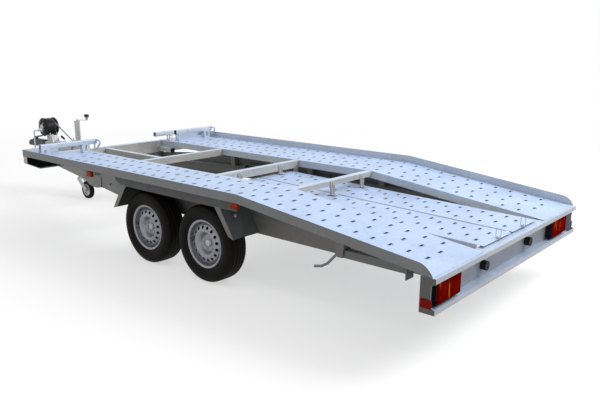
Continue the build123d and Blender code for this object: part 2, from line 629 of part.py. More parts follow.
# Overrun housing on the drawbar's nose, with its cross plate, lever and draw tube
NOSE_TOP = MAIN_BOTTOM + LEG_DEPTH
PLATE_REAR = from_nose(1170.0)
HOUSING_REAR = from_nose(1010.0)
HOUSING_FRONT = from_nose(630.0)
DRAW_FRONT = from_nose(345.0)
SLEEVE_REAR = from_nose(370.0)
DRAW_Z = 556.0
HOUSING_TOP = 603.0
EYE_Y = HOUSING_REAR + 30.0
EYE_Z = HOUSING_TOP + 22.0


def leg_gap(y):
    """Distance of the drawbar leg's inner edge from the centreline."""
    return leg_x(y) - MAIN_WIDTH


with BuildPart() as housing:
    with BuildSketch(Plane.XY.offset(NOSE_TOP)):
        Polygon(
            (-leg_x(PLATE_REAR), PLATE_REAR), (leg_x(PLATE_REAR), PLATE_REAR),
            (LEG_NOSE_X, LEG_NOSE_Y), (-LEG_NOSE_X, LEG_NOSE_Y),
            align=None,
        )
        with Locations((0, JOCKEY_Y)):
            Circle(OUTER_TUBE_R, mode=Mode.SUBTRACT)
    extrude(amount=8)
    with BuildSketch(Plane.XZ.offset(-HOUSING_REAR)):
        Polygon((-52, NOSE_TOP + 8), (52, NOSE_TOP + 8), (44, HOUSING_TOP), (-44, HOUSING_TOP), align=None)
    extrude(amount=-(HOUSING_FRONT - HOUSING_REAR))
    with BuildSketch(Plane.XZ.offset(-HOUSING_FRONT)):
        with Locations((0, DRAW_Z)):
            Circle(25)
    extrude(amount=-(DRAW_FRONT - HOUSING_FRONT))
    # eye on the rear end of the housing that the winch hook holds
    with BuildSketch(Plane.YZ.offset(-5)):
        with Locations((EYE_Y, EYE_Z)):
            Circle(22)
            Circle(10, mode=Mode.SUBTRACT)
        with Locations((EYE_Y, EYE_Z - 21)):
            Rectangle(40, 16)
    extrude(amount=10)
    # handbrake lever beside the housing
    with BuildSketch(Plane.YZ.offset(52)):
        Polygon(
            (HOUSING_REAR + 20, 540), (HOUSING_REAR + 44, 540),
            (HOUSING_REAR + 122, 648), (HOUSING_REAR + 112, 660),
            align=None,
        )
        with Locations((HOUSING_REAR + 34, 542)):
            Circle(24)
    extrude(amount=10)
    with BuildSketch(Plane.YZ.offset(40)):
        with Locations((HOUSING_REAR + 34, 542)):
            Circle(18)
    extrude(amount=14)
housing.part.label = "overrun_housing"
export_step(housing.part, "parts/overrun_housing.step")

# Coupling head: body over the draw tube, ball socket below its front, handle above
BALL_Y = NOSE_Y - 66.0
BALL_Z = 520.0
BALL_R = 25.0
with BuildPart() as coupling:
    with BuildSketch(Plane.YZ.offset(-34)):
        Polygon(
            (DRAW_FRONT, 520), (DRAW_FRONT, 592), (NOSE_Y - 120, 588), (NOSE_Y - 40, 572),
            (NOSE_Y - 6, 548), (NOSE_Y, 520), (NOSE_Y - 8, 506), (NOSE_Y - 130, 506),
            align=None,
        )
    extrude(amount=68)
    with BuildSketch(Plane.XZ.offset(-SLEEVE_REAR)):
        with Locations((0, DRAW_Z)):
            Circle(38)
    extrude(amount=-60)
    with BuildSketch(Plane.XZ.offset(-SLEEVE_REAR)):
        with Locations((0, DRAW_Z)):
            Circle(25)
    extrude(amount=-25, mode=Mode.SUBTRACT)
    with Locations((0, BALL_Y, BALL_Z)):
        Sphere(BALL_R + 0.5, mode=Mode.SUBTRACT)
    with BuildSketch(Plane.XY.offset(500)):
        with Locations((0, BALL_Y)):
            Circle(BALL_R + 0.5)
    extrude(amount=BALL_Z - 500, mode=Mode.SUBTRACT)
    with BuildSketch(Plane.YZ.offset(-14)):
        Polygon(
            (NOSE_Y - 150, 584), (NOSE_Y - 60, 574), (NOSE_Y - 120, 618),
            (NOSE_Y - 262, 642), (NOSE_Y - 266, 626), (NOSE_Y - 150, 606),
            align=None,
        )
    extrude(amount=28)
coupling.part.label = "coupling_head"
export_step(coupling.part, "parts/coupling_head.step")

# Winch: leaning post, drum in its cover, crank, strap with its hook
POST_FOOT = LEG_NOSE_Y - 113.0
POST_LEAN = 80.0
with BuildPart() as post:
    for start in (-44, 40):
        with BuildSketch(Plane.YZ.offset(start)):
            Polygon(
                (POST_FOOT, NOSE_TOP + 8), (LEG_NOSE_Y, NOSE_TOP + 8),
                (LEG_NOSE_Y + POST_LEAN, WINCH_Z), (POST_FOOT + 18 + POST_LEAN, WINCH_Z),
                align=None,
            )
        extrude(amount=4)
    with BuildSketch(Plane.YZ.offset(-44)):
        Polygon(
            (POST_FOOT + 27, 604), (POST_FOOT + 31, 604),
            (POST_FOOT + 67, 668), (POST_FOOT + 63, 668),
            align=None,
        )
    extrude(amount=88)
    with BuildSketch(Plane.YZ.offset(-WINCH_HALF)):
        with Locations((WINCH_Y, WINCH_Z)):
            Circle(WINCH_R)
    extrude(amount=2 * WINCH_HALF, mode=Mode.SUBTRACT)
post.part.label = "winch_post"
export_step(post.part, "parts/winch_post.step")

REEL_R = 92.0
DRUM_PROFILE = (
    (-WINCH_HALF, 0), (-WINCH_HALF, 96), (-78, WINCH_R), (-34, WINCH_R), (-28, REEL_R),
    (34, REEL_R), (40, WINCH_R), (70, WINCH_R), (80, 98), (WINCH_HALF, 62), (WINCH_HALF, 0),
)
with BuildPart() as drum:
    with BuildSketch(Plane(origin=(0, WINCH_Y, WINCH_Z), x_dir=(1, 0, 0), z_dir=(0, -1, 0))):
        Polygon(*DRUM_PROFILE, align=None)
    revolve(axis=Axis((0, WINCH_Y, WINCH_Z), (1, 0, 0)))
drum.part.label = "winch_drum"
export_step(drum.part, "parts/winch_drum.step")

CRANK_X = -WINCH_HALF - 62.0
CRANK_LENGTH = 215.0
with BuildPart() as crank:
    for start, end, radius in ((-WINCH_HALF, -WINCH_HALF - 32, 22), (-WINCH_HALF - 32, CRANK_X, 9)):
        with BuildSketch(Plane.YZ.offset(end)):
            with Locations((WINCH_Y, WINCH_Z)):
                Circle(radius)
        extrude(amount=start - end)
    with BuildSketch(Plane.YZ.offset(CRANK_X - 9)):
        with Locations((WINCH_Y + 6, WINCH_Z - CRANK_LENGTH / 2)):
            RectangleRounded(20, CRANK_LENGTH + 22, 9)
    extrude(amount=9)
    with BuildSketch(Plane.YZ.offset(CRANK_X - 79)):
        with Locations((WINCH_Y + 6, WINCH_Z - CRANK_LENGTH)):
            Circle(13)
    extrude(amount=70)
crank.part.label = "winch_crank"
export_step(crank.part, "parts/winch_crank.step")

# strap: tangent to the reel, down to a shackle hook through the eye on the housing
STRAP_END_Y = EYE_Y + 40.0
STRAP_END_Z = EYE_Z + 24.0
STRAP_THICK = 3.0
STRAP_HALF = 20.0
reach = sqrt((WINCH_Y - STRAP_END_Y) ** 2 + (WINCH_Z - STRAP_END_Z) ** 2)
rise = atan2(WINCH_Z - STRAP_END_Z, WINCH_Y - STRAP_END_Y) + asin(REEL_R / reach)
run = sqrt(reach ** 2 - REEL_R ** 2)
along = (cos(rise), sin(rise))
across = (-sin(rise), cos(rise))
with BuildPart() as strap:
    with BuildSketch(Plane.YZ.offset(-STRAP_HALF)):
        Polygon(
            (STRAP_END_Y, STRAP_END_Z),
            (STRAP_END_Y + run * along[0], STRAP_END_Z + run * along[1]),
            (STRAP_END_Y + run * along[0] + STRAP_THICK * across[0],
             STRAP_END_Z + run * along[1] + STRAP_THICK * across[1]),
            (STRAP_END_Y + STRAP_THICK * across[0], STRAP_END_Z + STRAP_THICK * across[1]),
            align=None,
        )
    extrude(amount=2 * STRAP_HALF)
    for start in (-13, 8):
        with BuildSketch(Plane.YZ.offset(start)):
            Polygon(
                (EYE_Y - 10, EYE_Z - 8), (EYE_Y + 8, EYE_Z - 10),
                (STRAP_END_Y + 14, STRAP_END_Z + 2), (STRAP_END_Y + 4, STRAP_END_Z + 12),
                (EYE_Y - 8, EYE_Z + 10),
                align=None,
            )
        extrude(amount=5)
    with BuildSketch(Plane.YZ.offset(-13)):
        with Locations((EYE_Y, EYE_Z)):
            Circle(6)
    extrude(amount=26)
strap.part.label = "winch_strap"
export_step(strap.part, "parts/winch_strap.step")

# Jockey wheel: clamped outer tube with its crank, sliding leg, swivelling fork, wheel
TUBE_LOW = 400.0
TUBE_HIGH = 868.0
LEG_LOW = 238.0
LEG_HIGH = 690.0
CRANK_Z = 888.0
KNOB_REACH = 115.0
with BuildPart() as jockey_tube:
    with BuildSketch(Plane.XY.offset(TUBE_LOW)):
        with Locations((0, JOCKEY_Y)):
            Circle(OUTER_TUBE_R)
            Circle(INNER_TUBE_R + TUBE_FIT, mode=Mode.SUBTRACT)
    extrude(amount=TUBE_HIGH - TUBE_LOW)
    with BuildSketch(Plane.XY.offset(TUBE_HIGH)):
        with Locations((0, JOCKEY_Y)):
            Circle(OUTER_TUBE_R + 2)
    extrude(amount=8)
    with BuildSketch(Plane.XY.offset(TUBE_HIGH + 8)):
        with Locations((0, JOCKEY_Y)):
            Circle(8)
    extrude(amount=CRANK_Z + 6 - TUBE_HIGH - 8)
    knob = (0.6 * KNOB_REACH, JOCKEY_Y - 0.8 * KNOB_REACH)
    with BuildSketch(Plane.XY.offset(CRANK_Z - 6)):
        with Locations(Location((knob[0] / 2, (JOCKEY_Y + knob[1]) / 2),
                                degrees(atan2(-0.8, 0.6)))):
            Rectangle(KNOB_REACH + 16, 14)
    extrude(amount=6)
    with BuildSketch(Plane.XY.offset(CRANK_Z - 6)):
        with Locations(knob):
            Circle(8)
    extrude(amount=20)
    with BuildSketch(Plane.XY.offset(CRANK_Z + 10)):
        with Locations(knob):
            Circle(16)
    extrude(amount=18)
    with BuildSketch(Plane.XY.offset(CRANK_Z + 28)):
        with Locations(knob):
            Circle(25)
    extrude(amount=28)
    # clamp collar and its tightening handle
    with BuildSketch(Plane.XY.offset(NOSE_TOP + 8)):
        with Locations((0, JOCKEY_Y)):
            Circle(42)
            Circle(OUTER_TUBE_R - 2, mode=Mode.SUBTRACT)
    extrude(amount=46)
    with BuildSketch(Plane.XZ.offset(-(JOCKEY_Y + 6))):
        with Locations((-72, NOSE_TOP + 31)):
            Rectangle(70, 14)
    extrude(amount=12)
jockey_tube.part.label = "jockey_tube"
export_step(jockey_tube.part, "parts/jockey_tube.step")

with BuildPart() as jockey_leg:
    with BuildSketch(Plane.XY.offset(LEG_LOW)):
        with Locations((0, JOCKEY_Y)):
            Circle(INNER_TUBE_R)
    extrude(amount=LEG_HIGH - LEG_LOW)
    with BuildSketch(Plane.XY.offset(LEG_LOW + 14)):
        with Locations((0, JOCKEY_Y)):
            Circle(INNER_TUBE_R - 4)
    extrude(amount=LEG_HIGH - LEG_LOW - 14, mode=Mode.SUBTRACT)
    with BuildSketch(Plane.XY.offset(LEG_LOW - 8)):
        with Locations((0, JOCKEY_Y)):
            Circle(INNER_TUBE_R + 6)
    extrude(amount=8)
    with BuildSketch(Plane.XY.offset(LEG_LOW - 30)):
        with Locations((0, JOCKEY_Y)):
            Circle(PIN_R)
    extrude(amount=22)
jockey_leg.part.label = "jockey_leg"
export_step(jockey_leg.part, "parts/jockey_leg.step")

CROWN_TOP = LEG_LOW - 9.0
CROWN_LOW = CROWN_TOP - 12.0
WHEEL_Y = JOCKEY_Y - JOCKEY_TRAIL
FORK_X = JOCKEY_WHEEL_W / 2 + 6.0
with BuildPart() as jockey_fork:
    with BuildSketch(Plane.XY.offset(CROWN_LOW)):
        with Locations((0, JOCKEY_Y - 12)):
            Rectangle(2 * (FORK_X + 5), 74)
        with Locations((0, JOCKEY_Y)):
            Circle(PIN_R + PIN_FIT, mode=Mode.SUBTRACT)
    extrude(amount=CROWN_TOP - CROWN_LOW)
    for start in (-FORK_X - 5, FORK_X):
        with BuildSketch(Plane.YZ.offset(start)):
            Polygon(
                (JOCKEY_Y + 25, CROWN_TOP), (JOCKEY_Y + 25, CROWN_LOW - 14),
                (WHEEL_Y + 16, JOCKEY_WHEEL_R - 18), (WHEEL_Y - 16, JOCKEY_WHEEL_R - 16),
                (WHEEL_Y - 18, JOCKEY_WHEEL_R + 14), (JOCKEY_Y - 49, CROWN_TOP),
                align=None,
            )
        extrude(amount=5)
    with BuildSketch(Plane.YZ.offset(-FORK_X - 10)):
        with Locations((WHEEL_Y, JOCKEY_WHEEL_R)):
            Circle(PIN_R)
    extrude(amount=2 * (FORK_X + 10))
jockey_fork.part.label = "jockey_fork"
export_step(jockey_fork.part, "parts/jockey_fork.step")

JOCKEY_PROFILE = (
    (-25, PIN_R + PIN_FIT), (-25, 18), (-14, 22), (-14, 60), (-25, 66), (-25, 90), (-18, 97),
    (-8, JOCKEY_WHEEL_R), (8, JOCKEY_WHEEL_R), (18, 97), (25, 90), (25, 66), (14, 60), (14, 22),
    (25, 18), (25, PIN_R + PIN_FIT),
)
with BuildPart() as jockey_wheel:
    with BuildSketch(Plane(origin=(0, WHEEL_Y, JOCKEY_WHEEL_R), x_dir=(1, 0, 0),
                           z_dir=(0, -1, 0))):
        Polygon(*JOCKEY_PROFILE, align=None)
    revolve(axis=Axis((0, WHEEL_Y, JOCKEY_WHEEL_R), (1, 0, 0)))
jockey_wheel.part.label = "jockey_wheel"
export_step(jockey_wheel.part, "parts/jockey_wheel.step")

# Rear prop stands, folded up rearwards under the sloping runways
for side, sx in SIDES:
    with BuildPart() as prop:
        with BuildSketch(Plane.YZ.offset(sx * PROP_X - PROP_HALF)):
            with Locations((PROP_Y - PROP_LENGTH / 2, PROP_Z)):
                Rectangle(PROP_LENGTH, PROP_HEIGHT)
            with Locations((PROP_Y, PROP_Z)):
                Circle(PROP_HEIGHT / 2)
        extrude(amount=2 * PROP_HALF)
        with BuildSketch(Plane.XY.offset(PROP_Z + PROP_HEIGHT / 2 - 4)):
            with Locations((sx * PROP_X, PROP_Y - PROP_LENGTH / 2 - 30)):
                Rectangle(2 * PROP_HALF - 8, PROP_LENGTH - 60)
        extrude(amount=-PROP_HEIGHT + 4, mode=Mode.SUBTRACT)
        with BuildSketch(Plane.YZ.offset(sx * PROP_X - PROP_HALF)):
            with Locations((PROP_Y, PROP_Z)):
                Circle(PIN_R + PIN_FIT)
        extrude(amount=2 * PROP_HALF, mode=Mode.SUBTRACT)
        with BuildSketch(Plane.XZ.offset(-(PROP_Y - PROP_LENGTH))):
            with Locations((sx * PROP_X, PROP_Z - 12)):
                Rectangle(78, 88)
        extrude(amount=7)
    prop.part.label = f"prop_stand_{side}"
    export_step(prop.part, f"parts/prop_stand_{side}.step")
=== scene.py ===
# %% Car carrier trailer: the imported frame
import json
from math import atan, cos, pi, radians, sin

import bmesh
import bpy
import numpy as np
from mathutils import Matrix, Vector


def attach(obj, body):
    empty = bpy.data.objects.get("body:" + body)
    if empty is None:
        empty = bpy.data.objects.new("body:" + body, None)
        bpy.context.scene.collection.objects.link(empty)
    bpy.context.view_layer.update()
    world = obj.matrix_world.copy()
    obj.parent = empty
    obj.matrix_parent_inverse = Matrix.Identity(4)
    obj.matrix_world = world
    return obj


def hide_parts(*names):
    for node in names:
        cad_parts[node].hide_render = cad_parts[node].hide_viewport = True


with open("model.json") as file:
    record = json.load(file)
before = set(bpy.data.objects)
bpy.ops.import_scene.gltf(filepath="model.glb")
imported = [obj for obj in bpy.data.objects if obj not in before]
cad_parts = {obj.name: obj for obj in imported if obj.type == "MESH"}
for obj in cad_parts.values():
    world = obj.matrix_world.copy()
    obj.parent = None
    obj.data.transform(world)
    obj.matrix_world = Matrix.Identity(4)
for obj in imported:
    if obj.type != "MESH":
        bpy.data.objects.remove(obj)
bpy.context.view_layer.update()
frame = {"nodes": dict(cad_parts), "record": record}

nodes = frame["nodes"]

# %% [markdown]
# ## Measures
# The trailer's middle is over the origin, +Y leads ahead to the coupling and +X to the right.
# All lengths are in metres. What several cells need is named once here.

# %% Measures that several cells share
SIDES = (("left", -1), ("right", 1))
REAR_Y, HALF_W = -3.125, 1.075
DECK_TOP, DECK_REAR_TOP = 0.695, 0.528
DECK_FRONT_Y, BEND_Y, DECK_REAR_Y = 1.180, REAR_Y + 1.465, REAR_Y + 0.022
SECOND_Y, MIDDLE_Y, BEND_BEAM_Y = 0.175, -0.832, -1.629
AXLE_MID_Y, AXLE_OFFSET = REAR_Y + 2.285, 0.340
WHEEL_X, TYRE_R = 0.868, 0.289
JOCKEY_Y = REAR_Y + 5.155
SHEET = 0.004
ALONG_X, UPWARDS = (1, 0, 0), (0, 0, 1)

# %% [markdown]
# ## Camera
# The photograph was taken from behind the left rear corner, a little above the deck. Where the
# camera stood and how it was turned were worked out from the runway edges, the wheels and the
# rear beam. A camera's turn is written here as three directions: right, up and backwards.

# %% Camera
PICTURE_WIDTH = 600
PICTURE_HEIGHT = 409
CAMERA_PLACE = Vector((-3.887, -4.604, 1.656))
CAMERA_HEADING = radians(49.35)
CAMERA_DIP = radians(13.75)
CAMERA_ROLL = radians(0.33)
FOCAL_PIXELS = 641.5
CENTRE_PIXEL = (297.75, 207.94)

ahead = Vector((sin(CAMERA_HEADING) * cos(CAMERA_DIP),
                cos(CAMERA_HEADING) * cos(CAMERA_DIP), -sin(CAMERA_DIP)))
level = Vector((cos(CAMERA_HEADING), -sin(CAMERA_HEADING), 0.0))
upright = level.cross(ahead)
right = cos(CAMERA_ROLL) * level + sin(CAMERA_ROLL) * upright
up = right.cross(ahead)

camera_data = bpy.data.cameras.new("photo_camera")
camera = bpy.data.objects.new("photo_camera", camera_data)
bpy.context.scene.collection.objects.link(camera)
SENSOR_MM, FAR_CLIP = 36.0, 200.0
camera_data.sensor_width = SENSOR_MM
camera_data.lens = FOCAL_PIXELS * camera_data.sensor_width / PICTURE_WIDTH
camera_data.shift_x = (PICTURE_WIDTH / 2 - CENTRE_PIXEL[0]) / PICTURE_WIDTH
camera_data.shift_y = (CENTRE_PIXEL[1] - PICTURE_HEIGHT / 2) / PICTURE_WIDTH
turn = Matrix((right, up, -ahead)).transposed()
camera.matrix_world = Matrix.Translation(CAMERA_PLACE) @ turn.to_4x4()
camera_data.clip_end = FAR_CLIP
bpy.context.scene.camera = camera
print("camera lens", round(camera_data.lens, 2), "mm")

# %% [markdown]
# ## Helpers for surfaces
# Every new piece is a grid of points worked out as one numpy array: rows run along a path or
# round an axis, columns run along a profile. The faces are the grid's small squares, and they
# are numbered with array arithmetic as well, so nothing here loops over points.

# %% Grids and meshes
SHARP_ANGLE = radians(35)
WELD = 1e-6


def grid_faces(rows, columns, wrap_rows=False, wrap_columns=False):
    """Square (i, j) of a grid joins points i*columns+j, the next in its row and the two after
    them in the next row; a wrapped side joins its last row or column to the first."""
    i = np.arange(rows if wrap_rows else rows - 1)[:, None]
    j = np.arange(columns if wrap_columns else columns - 1)[None, :]
    down, across = (i + 1) % rows, (j + 1) % columns
    corners = (i * columns + j, i * columns + across, down * columns + across, down * columns + j)
    return np.stack([np.broadcast_to(c, (i.size, j.size)) for c in corners], -1).reshape(-1, 4)


def mesh_piece(name, points, faces, smooth=True, caps=()):
    """A mesh object from an (n, 3) array of points and an array of faces; caps are extra faces
    with many corners. Normals are recalculated so that they point outwards."""
    mesh = bpy.data.meshes.new(name)
    listed = np.asarray(faces).tolist() + [list(map(int, cap)) for cap in caps]
    mesh.from_pydata(np.asarray(points, float).reshape(-1, 3).tolist(), [], listed)
    mesh.validate()
    piece = bpy.data.objects.new(name, mesh)
    bpy.context.scene.collection.objects.link(piece)
    form = bmesh.new()
    form.from_mesh(mesh)
    bmesh.ops.remove_doubles(form, verts=form.verts, dist=WELD)
    bmesh.ops.recalc_face_normals(form, faces=form.faces)
    form.to_mesh(mesh)
    form.free()
    mesh.polygons.foreach_set("use_smooth", np.full(len(mesh.polygons), smooth))
    if smooth:
        mesh.set_sharp_from_angle(angle=SHARP_ANGLE)
    return piece


def finish_piece(piece, body, material, replaced=()):
    """Gives a piece its finish and the body that it moves with, and hides the parts it replaces."""
    piece.data.materials.clear()
    piece.data.materials.append(material)
    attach(piece, body)
    if replaced:
        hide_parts(*replaced)
    return piece

# %% [markdown]
# ## Finishes
# Hot-dip galvanised steel shows pale grain, blotches and runs. Upward faces get a lighter, bluish
# colour as painted light from the sky and upright faces a darker one as painted shade, and the
# outermost upright faces can get a darker painted shade still. Each finish mixes two or three
# colours by noise that is measured in metres on the object, so the pattern keeps its real size on
# every piece.

# %% Shader helpers


def new_finish(name):
    """An empty material with its nodes, its links and its main shader."""
    material = bpy.data.materials.new(name)
    material.use_nodes = True
    tree = material.node_tree
    shader = tree.nodes["Principled BSDF"]
    return material, tree, shader


def give(tree, socket, value):
    """Feeds a socket with a number, a colour, a vector or another node's output."""
    if isinstance(value, bpy.types.NodeSocket):
        tree.links.new(value, socket)
    elif isinstance(value, tuple) and len(value) < len(socket.default_value):
        socket.default_value = (*value, 1.0)
    else:
        socket.default_value = value


def put_node(tree, kind, *fed, **values):
    """A node of this kind: a named value sets the property or the socket of that name, and the
    others feed its first sockets in turn."""
    node = tree.nodes.new(kind)
    for key, value in values.items():
        if hasattr(node, key):
            setattr(node, key, value)
        else:
            give(tree, node.inputs[key.replace("_", " ")], value)
    for socket, value in zip(node.inputs, fed):
        give(tree, socket, value)
    return node


def settle(tree, shader, **values):
    """Feeds the shader's sockets by name."""
    for key, value in values.items():
        give(tree, shader.inputs[key.replace("_", " ")], value)


def object_place(tree, stretch=(1.0, 1.0, 1.0)):
    """Object coordinates, stretched along the axes."""
    where = put_node(tree, "ShaderNodeTexCoord").outputs["Object"]
    return put_node(tree, "ShaderNodeMapping", Vector=where, Scale=stretch).outputs["Vector"]


def parts_of(tree, vector):
    """The X, Y and Z of a vector, as outputs by name."""
    return put_node(tree, "ShaderNodeSeparateXYZ", vector).outputs


def facing(tree):
    """The X, Y and Z of the direction in which a face looks."""
    return parts_of(tree, put_node(tree, "ShaderNodeNewGeometry").outputs["Normal"])


def noise(tree, place, scale, detail=4.0, roughness=0.55):
    """Cloudy noise with this many clouds to a metre."""
    return put_node(tree, "ShaderNodeTexNoise", Vector=place, Scale=scale, Detail=detail,
                    Roughness=roughness).outputs["Fac"]


def ramp(tree, value, low, high, dark=0.0, light=1.0):
    """Carries low..high of a value to dark..light, held at both ends."""
    return put_node(tree, "ShaderNodeMapRange", Value=value, From_Min=low, From_Max=high,
                    To_Min=dark, To_Max=light).outputs["Result"]


def blend_colours(tree, share, first, second):
    """Mixes two colours, each a colour or another node's output, by a share from 0 to 1."""
    node = put_node(tree, "ShaderNodeMix", share, data_type="RGBA")
    give(tree, node.inputs[6], first)
    give(tree, node.inputs[7], second)
    return node.outputs[2]


def arithmetic(tree, how, first, *others):
    """A sum, product or other step with two or more values, each a number or an output."""
    for other in others:
        first = put_node(tree, "ShaderNodeMath", first, other, operation=how).outputs[0]
    return first


def distance_aside(tree, place):
    """How far a point lies from the trailer's middle plane."""
    return arithmetic(tree, "ABSOLUTE", parts_of(tree, place)["X"], 0.0)


def bump(tree, shader, height, distance, strength):
    """Small relief from a height, in metres at most, on the shader."""
    settle(tree, shader, Normal=put_node(tree, "ShaderNodeBump", Height=height, Strength=strength,
                                         Distance=distance).outputs["Normal"])

# %% Galvanised steel
EDGE_X, EDGE_BLUR = 1.0735, 0.0007
CLOUD = (0.3, 0.7)


def galvanised(name, lit_top_colour, shaded_side_colour, roughness, metallic=0.20, grain=55.0, outer_shade_colour=None):
    """Zinc-coated sheet: crystal grains from Voronoi cells, cloudy blotches, faint streaks. Faces
    that look up get a painted lit colour and upright faces a painted shade colour; the upright
    faces that lie outermost, past EDGE_X, can get a darker painted shade still."""
    material, tree, shader = new_finish(name)
    place = object_place(tree)
    cells = put_node(tree, "ShaderNodeTexVoronoi", Vector=place, Scale=grain).outputs["Color"]
    grains = put_node(tree, "ShaderNodeSeparateColor", cells).outputs["Red"]
    clouds = noise(tree, place, 3.2)
    streaks = noise(tree, object_place(tree, (2.0, 14.0, 1.2)), 3.0, 6.0)
    # Painted shade: the outermost upright faces get a darker colour.
    if outer_shade_colour:
        outer_shade_share = ramp(tree, distance_aside(tree, place), EDGE_X - EDGE_BLUR, EDGE_X + EDGE_BLUR)
        shaded_side_colour = blend_colours(tree, outer_shade_share, shaded_side_colour, outer_shade_colour)
    # Painted light and shade: upward faces take the lit colour, upright faces the shaded one.
    lit_top_share = ramp(tree, facing(tree)["Z"], 0.25, 0.85)
    base = blend_colours(tree, lit_top_share, shaded_side_colour, lit_top_colour)
    tone = arithmetic(tree, "MULTIPLY", ramp(tree, grains, 0.0, 1.0, 0.94, 1.05),
                      ramp(tree, clouds, *CLOUD, 0.90, 1.06),
                      ramp(tree, streaks, 0.35, 0.7, 0.96, 1.03))
    scaled = put_node(tree, "ShaderNodeVectorMath", base, operation="SCALE", Scale=tone)
    gloss = arithmetic(tree, "ADD", ramp(tree, grains, 0.0, 1.0, -0.05, 0.05),
                       ramp(tree, clouds, *CLOUD, roughness - 0.06, roughness + 0.08))
    settle(tree, shader, Base_Color=scaled.outputs["Vector"], Metallic=metallic, Roughness=gloss)
    bump(tree, shader, noise(tree, place, 160.0, 3.0), 0.0004, 0.35)
    return material


# In each finish the first colour is painted light on upward faces, its blue painted sky light, the
# second painted shade on upright faces, and the third, where given, a darker painted shade on the
# outermost upright faces.
DECK_ZINC = galvanised("deck_zinc", (0.44, 0.565, 0.80), (0.52, 0.57, 0.64), 0.40,
                       outer_shade_colour=(0.17, 0.173, 0.178))
FRAME_ZINC = galvanised("frame_zinc", (0.52, 0.61, 0.74), (0.44, 0.44, 0.43), 0.45,
                        outer_shade_colour=(0.10, 0.10, 0.10))
BEAM_ZINC = galvanised("beam_zinc", (0.40, 0.44, 0.50), (0.17, 0.165, 0.160), 0.50)
# Dark zinc for dull parts, and painted shade on the beam webs under the deck.
DULL_SHADE_ZINC = galvanised("dull_shade_zinc", (0.20, 0.205, 0.21), (0.15, 0.148, 0.144), 0.55)
LIP_ZINC = galvanised("lip_zinc", (0.30, 0.32, 0.35), (0.17, 0.17, 0.17), 0.50)
# Darker blue zinc for the slot lips: painted shading of the pressed edges.
LIP_SHADE_ZINC = galvanised("lip_shade_zinc", (0.25, 0.33, 0.46), (0.20, 0.25, 0.33), 0.45)
REAR_ZINC = galvanised("rear_zinc", (0.44, 0.53, 0.68), (0.35, 0.37, 0.41), 0.45, 0.25,
                       outer_shade_colour=(0.085, 0.083, 0.082))
BRIGHT_ZINC = galvanised("bright_zinc", (0.55, 0.56, 0.58), (0.46, 0.47, 0.48), 0.34, 0.55, 220.0)

# %% [markdown]
# ## Other finishes
# The tyres are matt black rubber with a dusty bloom, the rims silver lacquer, the winch cover
# and knobs black plastic, and the lamps clear coloured plastic over ribbed reflectors.

# %% Rubber, paint, plastic and lenses


def plain_finish(name, dark, light, roughness, metallic=0.0, scale=40.0, relief=0.0003, coat=0.0,
                 specular=0.5):
    """Two near colours mixed by noise, with noise in the gloss and a little relief."""
    material, tree, shader = new_finish(name)
    place = object_place(tree)
    clouds, broad = noise(tree, place, scale), noise(tree, place, scale / 9)
    share = arithmetic(tree, "MULTIPLY", ramp(tree, clouds, *CLOUD), ramp(tree, broad, 0.2, 0.8))
    settle(tree, shader, Base_Color=blend_colours(tree, share, dark, light), Metallic=metallic,
           Roughness=ramp(tree, clouds, *CLOUD, roughness - 0.06, roughness + 0.08),
           Coat_Weight=coat, Specular_IOR_Level=specular)
    bump(tree, shader, noise(tree, place, scale * 6), relief, 0.4)
    return material


RUBBER = plain_finish("tyre_rubber", (0.004, 0.0035, 0.003), (0.011, 0.009, 0.008), 0.55,
                      specular=0.09)
SOFT_RUBBER = plain_finish("buffer_rubber", (0.008, 0.008, 0.008), (0.018, 0.018, 0.018), 0.55,
                           specular=0.2)
BLACK_PLASTIC = plain_finish("black_plastic", (0.008, 0.008, 0.010), (0.020, 0.020, 0.022), 0.36,
                             specular=0.14)
RIM_SILVER = plain_finish("rim_silver", (0.25, 0.255, 0.28), (0.36, 0.365, 0.39), 0.30, 0.6,
                          scale=25.0, relief=0.0001, coat=0.1)
DARK_STEEL = plain_finish("dark_steel", (0.035, 0.036, 0.040), (0.075, 0.075, 0.080), 0.45, 0.4)
WEBBING = plain_finish("strap_webbing", (0.15, 0.16, 0.19), (0.30, 0.31, 0.36), 0.75)
# Near-black for the inside of the front beam: painted shade.
BEAM_INSIDE_SHADE = plain_finish("beam_inside_shade", (0.012, 0.012, 0.012), (0.022, 0.021, 0.020), 0.85,
                     specular=0.05)
VENT_SHADE = plain_finish("vent_shade", (0.006, 0.006, 0.006), (0.012, 0.012, 0.012), 0.85,
                         specular=0.0)
# Near-black for the slot collars: painted shade inside the holes.
SLOT_SHADE = plain_finish("slot_shade", (0.030, 0.036, 0.048), (0.055, 0.065, 0.085), 0.7,
                         specular=0.05)
RED_LENS = plain_finish("red_lens", (0.11, 0.0005, 0.0005), (0.30, 0.010, 0.002), 0.25,
                        scale=14.0, relief=0.0004, specular=0.0)
MARK_RED = plain_finish("mark_red", (0.16, 0.004, 0.004), (0.24, 0.008, 0.008), 0.35,
                        scale=30.0, relief=0.0004, specular=0.05)
AMBER_LENS = plain_finish("amber_lens", (0.25, 0.022, 0.005), (0.40, 0.060, 0.012), 0.25,
                          scale=30.0, relief=0.0004, specular=0.08)

# %% Mudguard sheet with painted shade, and painted glints in the lamps
GUARD_DISC_X = 0.80


